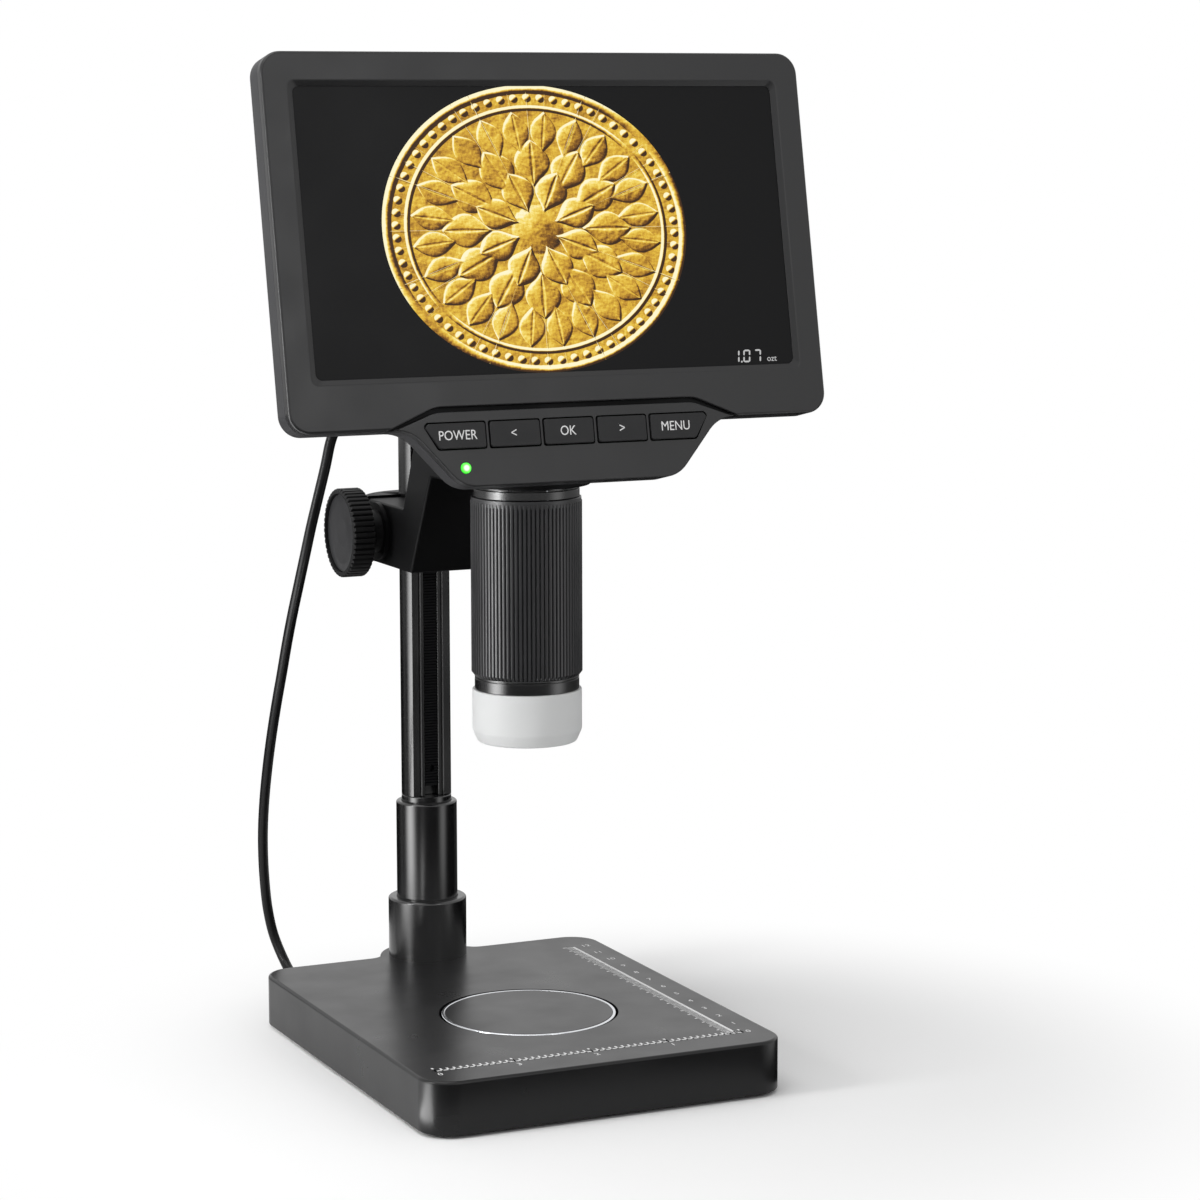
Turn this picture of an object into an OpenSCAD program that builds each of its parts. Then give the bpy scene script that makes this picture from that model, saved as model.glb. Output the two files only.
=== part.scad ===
// Desk microscope with a 7-inch screen, a rack-and-pinion stand and a weighing pan in its base.
// Millimetres. +Z is up, the screen faces -Y, and the floor under the feet is Z = 0.
// The origin is the middle of the footprint of everything but the free lead.

/* [Base] */
// Width of the base
base_w = 118; // [110:1:130]
// Depth of the base, front to back
base_d = 149; // [140:1:165]
// Height of the base housing without its feet
base_h = 16.4; // [15.5:0.1:20]
// Corner radius of the base in plan
base_r = 10; // [6:0.5:16]
// Wall thickness of the base housing
base_wall = 2.4; // [2:0.1:3.5]
// Thickness of the base's top plate
base_top = 2.6; // [2:0.1:3]
// Thickness of the bottom cover
cover_t = 1.6; // [1.2:0.1:2]
// Height that the feet stand out
foot_h = 1; // [0.8:0.1:3]
// Radius of a foot
foot_r = 7; // [5:0.5:9]

/* [Weighing pan] */
// Radius of the pan with its bright ring
pan_r = 27.4; // [22:0.1:32]
// Width of the bright ring
pan_ring_w = 1; // [0.6:0.1:2]
// Gap between the pan and the hole in the base
pan_gap = 0.8; // [0.5:0.1:1.5]
// How far the pan can sink
pan_travel = 0.3; // [0.2:0.05:0.4]
// Thickness of the load cell beam
cell_t = 6; // [5:0.25:6.5]
// Width of the load cell beam
cell_w = 12; // [9:0.5:16]

/* [Stand] */
// Distance of the column's axis behind the middle of the base
col_off = 73; // [68:0.5:76]
// Radius of the column
col_r = 8.25; // [8:0.05:9]
// Height of the column's top above the floor
col_top = 215; // [210:1:240]
// Distance of the column's front flat from its axis
col_flat = 5; // [4.6:0.1:5.6]
// Radius of the sleeve round the foot of the column
sleeve_r = 10.1; // [9.6:0.1:11.5]
// Height of the sleeve's top above the floor
sleeve_top = 70; // [55:0.5:70]
// Radius of the collar at the base
collar_r = 13; // [12:0.25:14.5]
// Height of the collar
collar_h = 20; // [14:0.5:26]

/* [Rack and pinion] */
// Gear module
gear_m = 0.3; // [0.25:0.05:0.35]
// Teeth on the pinion
pinion_z = 40; // [38:1:42]
// Width of the rack
rack_w = 4.6; // [4:0.1:5.2]
// Radius of the pinion shaft
shaft_r = 3; // [2.5:0.1:3.2]
// Radius of a knob
knob_r = 14.2; // [12:0.2:18]
// Thickness of a knob's rim
knob_t = 6.3; // [5:0.1:9]

/* [Bracket] */
// Half the width of the bracket, and the radius of its round ends
block_r = 20; // [19:0.25:23]
// Height of the bracket's underside at the column
block_z = 151.8; // [150:0.2:158]
// Height of the block that slides on the column
block_h = 20.2; // [19:0.2:24]
// Distance of the optical axis in front of the middle of the base
opt_off = 11.3; // [8:0.1:15]
// Height of the nose's underside
nose_z = 184.2; // [183:0.2:186]
// Height of the nose
nose_h = 17.8; // [17:0.2:19]

/* [Lens barrel] */
// Radius of the focus ring over its ribs
grip_r = 17.2; // [16.8:0.1:18.5]
// Length of the focus ring
grip_len = 55.4; // [50:0.2:56]
// Ribs round the focus ring
grip_ribs = 80; // [40:2:100]
// Outer radius of the fixed lens tube
tube_r = 13.4; // [13:0.1:13.8]
// Wall of the fixed lens tube
tube_wall = 1.8; // [1.5:0.1:2.2]
// Height of the frosted diffuser cap
cap_h = 16.5; // [14:0.25:18]
// Radius of the diffuser cap
cap_r = 17; // [16.6:0.1:18]

/* [Screen housing] */
// Width of the visible glass
glass_w = 158.2; // [150:0.2:170]
// Height of the visible glass
glass_h = 86.5; // [80:0.1:96]
// Border of the housing left and right of the glass
side_border = 8.6; // [7.8:0.1:12]
// Border of the housing above the glass
head_border = 10.1; // [8:0.1:14]
// Border of the housing under the glass
foot_border = 15.4; // [14.4:0.1:20]
// Corner radius of the screen housing
disp_r = 6.5; // [4:0.25:10]
// Thickness of the screen housing at its edge
disp_t = 10; // [10:0.25:11]
// Height of the hump on the housing's back
hump_t = 6; // [5.5:0.25:7]
// Wall thickness of the rear shell
shell_wall = 2; // [1.6:0.1:2.4]
// Thickness of the front bezel and of the control panel
bezel_t = 3; // [2.6:0.1:3.2]
// Lean of the screen from upright, in degrees
lean = 11.5; // [8:0.5:13]
// Radius of the hinge pin
pin_r = 3; // [2.5:0.1:3.5]

/* [Keys] */
// Width of a plain key
key_w = 16; // [14:0.25:16.4]
// Height of a key
key_h = 7.6; // [6.5:0.1:8]
// Distance from key to key
key_pitch = 17.5; // [17.2:0.1:18]
// Travel of a key
key_travel = 0.35; // [0.25:0.05:0.5]

/* [Hidden] */
$fn = 64;
e = 0.01;
run = 0.05;
gap = 0.15;
rest_gap = 0.2;

// Plan: the footprint of base and bracket is centred on the origin
base_cy = -(col_off + block_r - base_d / 2) / 2;
base_back = base_cy + base_d / 2;
col_y = base_cy + col_off;
opt_y = base_cy - opt_off;
base_z = foot_h;
top_z = foot_h + base_h;
cover_z = foot_h + cover_t;
ceiling_z = top_z - base_top;
bulge_r = collar_r + 3;

// Bottom cover screws and feet
cover_in = 13;
cover_screws_at = [for (sx = [-1, 1], sy = [-1, 1])
    [sx * (base_w / 2 - cover_in), base_cy + sy * (base_d / 2 - cover_in)]];
foot_in = 24;
feet_at = [for (sx = [-1, 1], sy = [-1, 1])
    [sx * (base_w / 2 - foot_in), base_cy + sy * (base_d / 2 - foot_in)]];
m3_r = 1.5;
m3_head_r = 2.8;
m3_head_t = 1;
boss_r = 4;

// Weighing gear
pan_hole_r = pan_r + pan_gap;
pan_top_t = 1.2;
carrier_t = 1.2;
carrier_z = top_z - pan_top_t - carrier_t;
cell_len = 46;
cell_pad_t = 2;
cell_z = cover_z + cell_pad_t;
cell_top = cell_z + cell_t;
cell_end = 17;
cell_fix_y = opt_y + cell_end;
cell_free_y = opt_y - cell_end;
cell_eye_r = min(2.4, cell_t / 2 - 0.4);
pan_post_r = 4;

// Base board and lead gland in the base
board_t = 1.6;
base_board = [40, 30];
base_board_x = -30;
base_board_y = base_cy + 40;
base_board_z = ceiling_z - 4;
gland_x = -42;
gland_z = 10.5;
gland_r = 3.6;
gland_tip_r = 2.3;
gland_len = 10;
gland_bore = 2.45;

// Column foot
col_foot_z = foot_h + 5;
col_bolt_r = 3;
col_bolt_len = 18;
col_bolt_head_r = 5;
col_bolt_head_t = 3;
rack_z = 75.4;
rack_top = col_top - 8;
rack_depth = 3;
rack_screw_r = 1;
col_cap_t = 2;
col_cap_spigot_r = 1.8;

// Pinion: its pitch circle touches the rack's pitch line
tooth_pitch = PI * gear_m;
pitch_r = gear_m * pinion_z / 2;
rack_y = col_y - col_flat + gear_m;
pinion_y = rack_y - pitch_r;
pinion_z0 = block_z + block_h / 2 + 0.6;
pinion_w = rack_w - 0.6;
pinion_room = pitch_r + gear_m + 0.6;
bush_r = shaft_r + 1.5;
bush_in = 8;
side_boss_r = 9.3;
side_boss_t = 1.2;
bush_out = block_r + side_boss_t;
knob_gap = 0.2;
knob_back = 27;
knob_hub_r = 7;
knob_teeth = 48;
knob_tooth = 0.5;
knob_dish = 0.9;
knob_cap_t = 0.5;

// Bracket profile, set off from the column and the optical axis
block_top = block_z + block_h;
nose_top = nose_z + nose_h;
heel_top = nose_top + 8;
arm_front_y = col_y - 37.8;
arm_under_y = col_y - 55;
arm_notch_y = col_y - 31.7;
arm_back_y = col_y - 49.1;
heel_front_y = opt_y + 14.3;
chamber_r = 13.5;
chamber_z = nose_z + 7.4;
chamber_top = nose_z + 13.8;
duct_r = 2.5;
duct_y = opt_y + 23.3;
duct_z = nose_z + 10;
lead_z = heel_top - 4.5;
bore_r = col_r + run;
brake_r = 2.95;
brake_len = 4;
brake_screw_len = 6;

// Hinge of the screen
pivot_y = opt_y;
pivot_z = nose_top + 11;
knuckle_r = 7;
knuckle_w = 18;
ear_t = 4;
washer_t = 0.3;
ear_in = knuckle_w / 2 + washer_t;
pin_end = ear_in + ear_t;
pin_head_r = 5;
pin_head_t = 2.5;

// Screen housing: its own frame has x across, z up along the screen, y into the housing
disp_y = opt_y - 31.5;
disp_z = nose_top + 3.4;
disp_w = glass_w + 2 * side_border;
disp_h = foot_border + glass_h + head_border;
tab_h = 17.5;
tab_half = 50.4;
tab_angle = 48;
tab_r = 5;
tab_cx = tab_half - tab_h / tan(tab_angle) - tab_r / tan(90 - tab_angle / 2);
tab_cz = tab_r - tab_h;
panel_top = 6.2;
panel_top_half = 42;
panel_foot_half = 55.5;
seam = 0.6;
edge_step = 1.2;
glass_r = 2;
lcd_cz = foot_border + glass_h / 2;
lcd_edge = [2.4, 3.25];
lcd_panel = [glass_w, glass_h] + 2 * lcd_edge;
lcd_t = 4.2;
glass_t = 1.8;
hump_in = [17.7, 19];
hump_lift = 8;
hump = [disp_w, disp_h] - 2 * hump_in;
hump_cz = disp_h / 2 + hump_lift;
hump_r = 8;
hump_wall = 1.6;
back_y = disp_t;
back_in = disp_t - shell_wall;
hump_y = disp_t + hump_t;
main_board = [64, 64];
main_board_x = 32;
board_lift = 1.6;
battery = [56, 60];
battery_t = 4.6;
battery_x = -34;
key_cz = -2.3;
key_proud = 0.5;
key_lip = 0.8;
key_lip_in = 2.2;
key_lip_t = 0.8;
key_lip_y = bezel_t + rest_gap;
key_back = key_lip_y + key_lip_t;
switch_y = key_back + key_travel + 0.05;
switch_t = 1;
key_board_y = switch_y + switch_t;
key_board_t = 1.2;
key_board_w = 88;
key_board_rise = 4;
key_post_x = 28;
key_post_r = 2;
key_xs = [-2, -1, 0, 1, 2];
end_key_extra = 2.2;
led_x = -34;
led_z = -11.9;
led_r = 1.6;
shell_screw_xs = [-1, 0, 1];
shell_screw_in = 4.6;
m2_r = 1;
m2_head_r = 2;
m2_head_t = 1;
shell_boss_r = 2.6;
// The pivot in the housing's frame
pivot_depth = (pivot_y - disp_y) * cos(lean) - (pivot_z - disp_z) * sin(lean);
pivot_up = (pivot_y - disp_y) * sin(lean) + (pivot_z - disp_z) * cos(lean);
hinge_plate = [40, 17];
hinge_plate_t = 2;
hinge_screws_at = [for (sx = [-1, 1], sz = [-1, 1])
    [sx * (hinge_plate[0] / 2 - 3), pivot_up + sz * (hinge_plate[1] / 2 - 3.5)]];

// Lens barrel, from the nose down
neck_r = 16.8;
neck_h = 3.6;
neck_screw_at = (tube_r + neck_r) / 2 - 0.05;
neck_screw_r = 0.8;
neck_head_r = 1.35;
ring_gap = 0.1;
grip_top = nose_z - neck_h - ring_gap;
grip_z = grip_top - grip_len;
grip_chamfer = 1.3;
rib_depth = 0.45;
lamp_top = grip_z - ring_gap;
lamp_r = 16.2;
lamp_h = 4.3;
lamp_z = lamp_top - lamp_h;
spigot_r = 15.4;
spigot_h = 3.5;
tube_z = lamp_z - spigot_h;
tube_in = tube_r - tube_wall;
cap_z = lamp_z - cap_h;
cap_in = spigot_r + run;
cap_floor = 1.6;
cap_round = 3.5;
cap_eye_r = 10;
led_count = 8;
lamp_board_t = 1.6;
lamp_led = [3, 2.8, 1.2];
cell_r = tube_in - run;
cell_wall = 1.95;
cell_low = tube_z + 0.8;
lens_cell_len = 32;
lens_t = 4;
drive_r = 1.5;
drive_z = cell_low + 28;
drive_out = tube_r + 1.2;
// Travel of the lens cell below and above rest
lens_down = 8;
lens_up = 10;
pocket_r = grip_r - 2;

// Route of the free lead, from the bracket's gland to the base's gland
lead_r = 1.65;
lead_sides = 8;
lead_route = [[-30, 2.75, 205.5], [-34.5, 2.75, 205.5], [-39, 2.7, 206.3], [-43.1, 2.5, 206.9],
    [-47.2, 2.3, 206.3], [-50.8, 2.1, 204.3], [-53.6, 2, 201.2], [-55.4, 2, 197.2],
    [-57.11, 2, 190], [-59.04, 3.2, 181], [-60.63, 5.6, 171.5], [-61.43, 9.4, 162],
    [-61.84, 14.5, 152], [-61.88, 20.5, 142], [-61.5, 27, 132], [-60.83, 34, 121.5],
    [-60.13, 41.5, 110.5], [-59.02, 50, 98.5], [-57.61, 58.5, 86.5], [-56.03, 66.5, 74.5],
    [-54.15, 74, 62], [-51.77, 80.8, 49.5], [-49.22, 86.2, 37.5], [-47.56, 88.3, 30],
    [-46.15, 88.7, 24], [-44.75, 87.9, 19.2], [-43.52, 85.6, 14.9], [-42.9, 82.1, 12],
    [-42.25, 78.6, 10.75], [-42, 75.25, 10.5]];

// ---- Helpers ----

// Rectangle with round corners, centred
module rrect(w, h, r) {
    square([w - 2 * r, h], center = true);
    square([w, h - 2 * r], center = true);
    for (sx = [-1, 1], sy = [-1, 1]) translate([sx * (w / 2 - r), sy * (h / 2 - r)]) circle(r);
}

// Plate with round corners standing on z = 0
module plate(w, h, r, t) { linear_extrude(t) rrect(w, h, r); }

// Ring standing on z = 0
module ring(ro, ri, h) {
    difference() {
        cylinder(r = ro, h = h);
        translate([0, 0, -e]) cylinder(r = ri, h = h + 2 * e);
    }
}

// Cylinder along X between two x values
module x_rod(x0, x1, r) { translate([x0, 0, 0]) rotate([0, 90, 0]) cylinder(r = r, h = x1 - x0); }

// Cylinder along Y between two y values
module y_rod(y0, y1, r) { translate([0, y0, 0]) rotate([-90, 0, 0]) cylinder(r = r, h = y1 - y0); }

// A pan-head screw that points up: head under z = 0, shank above
module screw_up(head_r, head_t, shank_r, len) {
    translate([0, 0, -head_t]) cylinder(r = head_r, h = head_t);
    translate([0, 0, -e]) cylinder(r = shank_r, h = len + e);
}

// Outline with n teeth of height t inside radius r
module toothed(r, n, t) {
    polygon([for (i = [0 : n - 1], k = [0 : 3])
        let (a = (i + [0, 0.12, 0.5, 0.62][k]) * 360 / n, q = k < 1 || k > 2 ? r - t : r)
        [q * cos(a), q * sin(a)]]);
}

// Places what is drawn in the screen housing's frame
module in_housing() { translate([0, disp_y, disp_z]) rotate([-lean, 0, 0]) children(); }

// Draws an outline of x and z, from depth y0 to depth y1 of the housing
module layer(y0, y1) { translate([0, y1, 0]) rotate([90, 0, 0]) linear_extrude(y1 - y0) children(); }

// ---- Base ----

module base_outline() {
    translate([0, base_cy]) rrect(base_w, base_d, base_r);
    translate([0, col_y]) circle(bulge_r);
}

module base_housing() color("#1d1d1e") difference() {
    translate([0, 0, base_z]) linear_extrude(base_h) base_outline();
    difference() {
        translate([0, base_cy, base_z - e])
            plate(base_w - 2 * base_wall, base_d - 2 * base_wall, base_r - base_wall,
                  ceiling_z - base_z + e);
        translate([0, col_y, 0]) cylinder(r = bulge_r, h = top_z);
        for (p = cover_screws_at)
            translate([p[0], p[1], cover_z]) cylinder(r = boss_r, h = base_h - cover_t);
        for (sx = [-1, 1], sy = [-1, 1])
            translate([base_board_x + sx * (base_board[0] / 2 - 3),
                base_board_y + sy * (base_board[1] / 2 - 3), base_board_z + board_t])
                cylinder(r = 2, h = base_h);
    }
    // The cover's seat runs under the column's boss
    translate([0, base_cy, base_z - e])
        plate(base_w - 2 * base_wall, base_d - 2 * base_wall, base_r - base_wall, cover_t + e);
    translate([0, opt_y, base_z]) cylinder(r = pan_hole_r, h = base_h + 1);
    translate([0, col_y, col_foot_z]) cylinder(r = bore_r, h = base_h);
    translate([0, col_y, base_z - e]) cylinder(r = col_bolt_r + gap, h = base_h);
    translate([0, col_y, base_z - e])
        cylinder(r = col_bolt_head_r + gap, h = col_foot_z - base_z - 1.5 + e);
    for (p = cover_screws_at)
        translate([p[0], p[1], base_z]) cylinder(r = m3_r, h = cover_t + 8);
    translate([gland_x, base_back, gland_z]) y_rod(-base_wall - 1, 1, gland_bore + run);
}

module base_cover() color("#242425") difference() {
    union() {
        translate([0, base_cy, base_z])
            plate(base_w - 2 * (base_wall + gap), base_d - 2 * (base_wall + gap),
                  base_r - base_wall - gap, cover_t);
        translate([0, cell_fix_y, cover_z + cell_pad_t / 2])
            cube([cell_w, 12, cell_pad_t], center = true);
    }
    for (p = cover_screws_at) {
        translate([p[0], p[1], 0]) cylinder(r = m3_r + gap, h = base_h);
        translate([p[0], p[1], base_z - e]) cylinder(r = m3_head_r + gap, h = m3_head_t + e);
    }
    for (dy = [-3.5, 3.5]) {
        translate([0, cell_fix_y + dy, 0]) cylinder(r = m3_r + gap, h = cell_z + 1);
        translate([0, cell_fix_y + dy, base_z - e]) cylinder(r = m3_head_r + gap, h = m3_head_t + e);
    }
    // Room for the column's boss and its bolt
    translate([0, col_y, 0]) cylinder(r = col_bolt_head_r + 2, h = base_h);
}

module feet() color("#101010")
    for (p = feet_at) translate([p[0], p[1], 0]) cylinder(r = foot_r, h = foot_h);

module cover_screws() color("#8a8c90")
    for (p = cover_screws_at) translate([p[0], p[1], base_z + m3_head_t])
        screw_up(m3_head_r, m3_head_t, m3_r - run, 8);

module load_cell() color("#b9bcc2") difference() {
    translate([0, opt_y, cell_z + cell_t / 2]) cube([cell_w, cell_len, cell_t], center = true);
    for (dy = [-3.5, 3.5]) translate([0, opt_y + dy, cell_z + cell_t / 2])
        x_rod(-cell_w, cell_w, cell_eye_r);
    for (dy = [-3.5, 3.5])
        translate([0, cell_fix_y + dy, cell_z - 1]) cylinder(r = m3_r, h = cell_t + 2);
}

module load_cell_screws() color("#8a8c90")
    for (dy = [-3.5, 3.5]) translate([0, cell_fix_y + dy, base_z + m3_head_t])
        screw_up(m3_head_r, m3_head_t, m3_r - run, cell_pad_t + cover_t + 3);

module base_board() color("#1f5a38")
    translate([base_board_x, base_board_y, base_board_z])
        difference() {
            plate(base_board[0], base_board[1], 2, board_t);
            translate([0, 0, -e]) cylinder(r = 1.2, h = board_t + 2 * e);
        }

// Tapered relief with a spigot: the lead leaves along +Z from the wall at z = 0
module gland(wall) {
    translate([0, 0, -wall]) cylinder(r = gland_bore, h = wall + e);
    cylinder(r = gland_r, h = 2);
    translate([0, 0, 2 - e]) cylinder(r1 = gland_r - 0.3, r2 = gland_tip_r, h = gland_len - 2 + e);
}

module base_gland() color("#151515")
    translate([gland_x, base_back, gland_z]) rotate([-90, 0, 0]) gland(base_wall);

// ---- Pan ----

module pan_disc() color("#1b1b1c")
    translate([0, opt_y, top_z - pan_top_t]) cylinder(r = pan_r - pan_ring_w - run, h = pan_top_t);

module pan_ring() color("#d8dade")
    translate([0, opt_y, top_z - pan_top_t]) ring(pan_r, pan_r - pan_ring_w, pan_top_t);

module pan_carrier() color("#3a3b3d") {
    translate([0, opt_y, carrier_z]) cylinder(r = pan_r - 0.4, h = carrier_t);
    // Foot over the load cell's free end, a hair clear so that the pan can sink
    translate([0, cell_free_y, cell_top + pan_travel + run])
        cylinder(r = pan_post_r, h = carrier_z + e - cell_top - pan_travel - run);
}

// ---- Stand ----

module collar() color("#1a1a1b") translate([0, col_y, top_z]) difference() {
    union() {
        cylinder(r = collar_r, h = collar_h - 1);
        translate([0, 0, collar_h - 1]) cylinder(r1 = collar_r, r2 = collar_r - 0.8, h = 1);
    }
    translate([0, 0, -e]) cylinder(r = sleeve_r + run, h = collar_h + 1);
}

module sleeve() color("#232324") translate([0, col_y, top_z]) difference() {
    union() {
        cylinder(r = sleeve_r, h = sleeve_top - top_z - 0.8);
        translate([0, 0, sleeve_top - top_z - 0.8])
            cylinder(r1 = sleeve_r, r2 = sleeve_r - 0.6, h = 0.8);
    }
    translate([0, 0, -e]) cylinder(r = bore_r, h = sleeve_top);
}

module column() color("#2a2b2d") difference() {
    translate([0, col_y, col_foot_z]) cylinder(r = col_r, h = col_top - col_foot_z);
    translate([-20, col_y - col_flat - 20, sleeve_top + 2]) cube([40, 20, col_top]);
    translate([-rack_w / 2 - run, col_y - col_flat - e, rack_z - run])
        cube([rack_w + 2 * run, rack_depth + e, col_top]);
    translate([0, col_y, col_foot_z - e]) cylinder(r = col_bolt_r + run, h = col_bolt_len);
    translate([0, col_y, col_top - 6]) cylinder(r = col_cap_spigot_r + run, h = 7);
    for (z = [rack_z + 6, rack_top - 6]) translate([0, col_y, z])
        y_rod(-col_flat, 2, rack_screw_r + run);
}

// Rack profile in y and z: a spine with straight-sided teeth that point forwards
module rack() color("#0d0d0e") {
    n = floor((rack_top - rack_z) / tooth_pitch);
    // A tooth gap faces the pinion's axis at rest, where the pinion shows a tooth
    z0 = pinion_z0 - tooth_pitch * floor((pinion_z0 - rack_z) / tooth_pitch);
    root = rack_y + 1.25 * gear_m;
    tip = rack_y - gear_m;
    difference() {
        translate([-rack_w / 2, 0, 0]) rotate([90, 0, 90]) linear_extrude(rack_w)
            polygon(concat(
                [[col_y - col_flat + rack_depth, rack_z], [root, rack_z]],
                [for (i = [0 : n - 2], k = [0 : 3])
                    [k == 0 || k == 3 ? root : tip,
                     z0 + tooth_pitch * (i + [0.16, 0.36, 0.64, 0.84][k])]],
                [[root, rack_top], [col_y - col_flat + rack_depth, rack_top]]));
        for (z = [rack_z + 6, rack_top - 6]) translate([0, col_y, z])
            y_rod(-col_flat - 1, 0, rack_screw_r + run);
    }
}

module rack_screws() color("#77797d")
    for (z = [rack_z + 6, rack_top - 6]) translate([0, col_y, z])
        y_rod(-col_flat + 1.8, 1.5, rack_screw_r);

module column_bolt() color("#8a8c90") translate([0, col_y, col_foot_z - 1.5])
    screw_up(col_bolt_head_r, col_bolt_head_t - 0.5, col_bolt_r, col_bolt_len - 2);

module column_cap() color("#151516") translate([0, col_y, col_top]) {
    cylinder(r = col_r - 0.2, h = col_cap_t);
    translate([0, 0, -5]) cylinder(r = col_cap_spigot_r, h = 5 + e);
}

// ---- Bracket and camera ----

module bracket_body() {
    // Side profile in y and z
    translate([-block_r, 0, 0]) rotate([90, 0, 90]) linear_extrude(2 * block_r) polygon([
        [col_y, block_z], [arm_front_y, block_z], [arm_under_y, nose_z], [opt_y, nose_z],
        [opt_y, nose_top], [heel_front_y, nose_top], [heel_front_y, heel_top],
        [arm_back_y, heel_top], [arm_notch_y, block_top], [col_y, block_top]]);
    translate([0, col_y, block_z]) cylinder(r = block_r, h = block_h);
    translate([0, opt_y, nose_z]) cylinder(r = block_r, h = nose_h);
    translate([0, pinion_y, pinion_z0]) x_rod(-bush_out, bush_out, side_boss_r);
    translate([0, pivot_y, pivot_z]) x_rod(-knuckle_w / 2, knuckle_w / 2, knuckle_r);
    translate([0, pivot_y, (nose_top + pivot_z) / 2])
        cube([knuckle_w, 2 * knuckle_r, pivot_z - nose_top + 0.2], center = true);
}

module bracket() color("#2c2c2d") difference() {
    bracket_body();
    translate([0, col_y, block_z - 1]) cylinder(r = bore_r, h = block_h + 2);
    translate([0, pinion_y, pinion_z0]) {
        x_rod(-pinion_w / 2 - 0.6, pinion_w / 2 + 0.6, pinion_room);
        x_rod(-bush_in - 1, bush_in + 1, shaft_r + 0.2);
        x_rod(-bush_out - 1, -bush_in, bush_r + 0.02);
        x_rod(bush_in, bush_out + 1, bush_r + 0.02);
    }
    translate([0, pivot_y, pivot_z]) x_rod(-knuckle_w, knuckle_w, pin_r + run);
    translate([0, opt_y, nose_z - 1]) cylinder(r = chamber_r, h = chamber_z - nose_z + 1);
    translate([0, opt_y, nose_z]) cylinder(r = chamber_r - 1.1, h = chamber_top - nose_z);
    translate([0, 0, duct_z]) y_rod(opt_y, duct_y, duct_r);
    translate([0, duct_y, duct_z]) cylinder(r = duct_r, h = lead_z - duct_z);
    translate([0, duct_y, lead_z]) x_rod(-block_r - 1, 0, gland_bore + run);
    translate([0, col_y, pinion_z0 - 0.6]) y_rod(col_r - 1, block_r + 1, brake_r + run);
    for (a = [30, 150, 270]) translate([0, opt_y, 0]) rotate(a) translate([neck_screw_at, 0, nose_z - 1])
        cylinder(r = neck_screw_r, h = 6);
}

module camera_board() {
    color("#1f5a38") translate([0, opt_y, chamber_z - board_t])
        cylinder(r = chamber_r - 0.1, h = board_t);
    color("#2b2b30") translate([-6, opt_y - 6, chamber_z - board_t - 1.8]) cube([12, 12, 1.8 + e]);
}

module lens_barrel() color("#202021") translate([0, opt_y, 0]) difference() {
    union() {
        translate([0, 0, tube_z]) cylinder(r = tube_r, h = nose_z - tube_z);
        translate([0, 0, nose_z - neck_h]) cylinder(r = neck_r, h = neck_h - 0.6);
        translate([0, 0, nose_z - neck_h]) cylinder(r = neck_r - 0.5, h = neck_h);
    }
    translate([0, 0, tube_z - 1]) cylinder(r = tube_in, h = nose_z);
    // Slot that keeps the drive pin, and so the lens cell, from turning
    translate([-drive_r - run, tube_in - 1, drive_z - drive_r - lens_down - run])
        cube([2 * (drive_r + run), tube_wall + 2, lens_down + lens_up + 2 * (drive_r + run)]);
    for (a = [30, 150, 270]) rotate(a) translate([neck_screw_at, 0, nose_z - neck_h - e]) {
        cylinder(r = neck_screw_r + gap, h = neck_h + 1);
        cylinder(r = neck_head_r + 0.1, h = m2_head_t + e);
    }
}

module barrel_screws() color("#77797d")
    for (a = [30, 150, 270]) translate([0, opt_y, 0]) rotate(a)
        translate([neck_screw_at, 0, nose_z - neck_h + m2_head_t])
            screw_up(neck_head_r, m2_head_t, neck_screw_r - run, 5);

module lamp_collar() color("#161617") translate([0, opt_y, 0]) difference() {
    union() {
        translate([0, 0, lamp_z]) cylinder(r = lamp_r, h = lamp_h);
        translate([0, 0, tube_z]) cylinder(r = spigot_r, h = spigot_h + e);
    }
    translate([0, 0, tube_z - 1]) cylinder(r = tube_r + run, h = lamp_h + spigot_h + 2);
}

module lamp_board() {
    color("#e8e8e4") translate([0, opt_y, tube_z - lamp_board_t])
        ring(spigot_r - 0.4, tube_in + 0.2, lamp_board_t);
    color("#f4e9b0") for (i = [0 : led_count - 1])
        translate([0, opt_y, tube_z - lamp_board_t - lamp_led[2]]) rotate(i * 360 / led_count)
            translate([tube_in + 0.3, -lamp_led[1] / 2, 0]) cube([lamp_led[0], lamp_led[1], lamp_led[2] + e]);
}

// Cup profile with a rounded lower edge and an eye for the lens
module diffuser_cap() color("#dcdcdc", 0.85) translate([0, opt_y, cap_z])
    rotate_extrude() polygon(concat(
        [[cap_eye_r, 0]],
        [for (a = [0 : 15 : 90])
            [cap_r - cap_round + cap_round * sin(a), cap_round - cap_round * cos(a)]],
        [[cap_r, cap_h], [cap_in, cap_h]],
        [for (a = [90 : -15 : 0])
            [cap_in - cap_round + cap_floor + (cap_round - cap_floor) * sin(a),
             cap_round - (cap_round - cap_floor) * cos(a)]],
        [[cap_eye_r, cap_floor]]));

module brake_pad() color("#e6e3da") translate([0, col_y, pinion_z0 - 0.6])
    y_rod(col_r + run, col_r + run + brake_len, brake_r);

module brake_screw() color("#77797d") translate([0, col_y, pinion_z0 - 0.6]) difference() {
    y_rod(col_r + run + brake_len, col_r + run + brake_len + brake_screw_len, brake_r);
    translate([0, col_r + run + brake_len + brake_screw_len - 2.5, 0]) rotate([-90, 0, 0])
        cylinder(r = 1.4, h = 3, $fn = 6);
}

module shaft_bushes() color("#b08d4a") translate([0, pinion_y, pinion_z0])
    for (s = [-1, 1]) difference() {
        x_rod(min(s * bush_in, s * bush_out), max(s * bush_in, s * bush_out), bush_r);
        x_rod(-bush_out - 1, bush_out + 1, shaft_r + run);
    }

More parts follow.
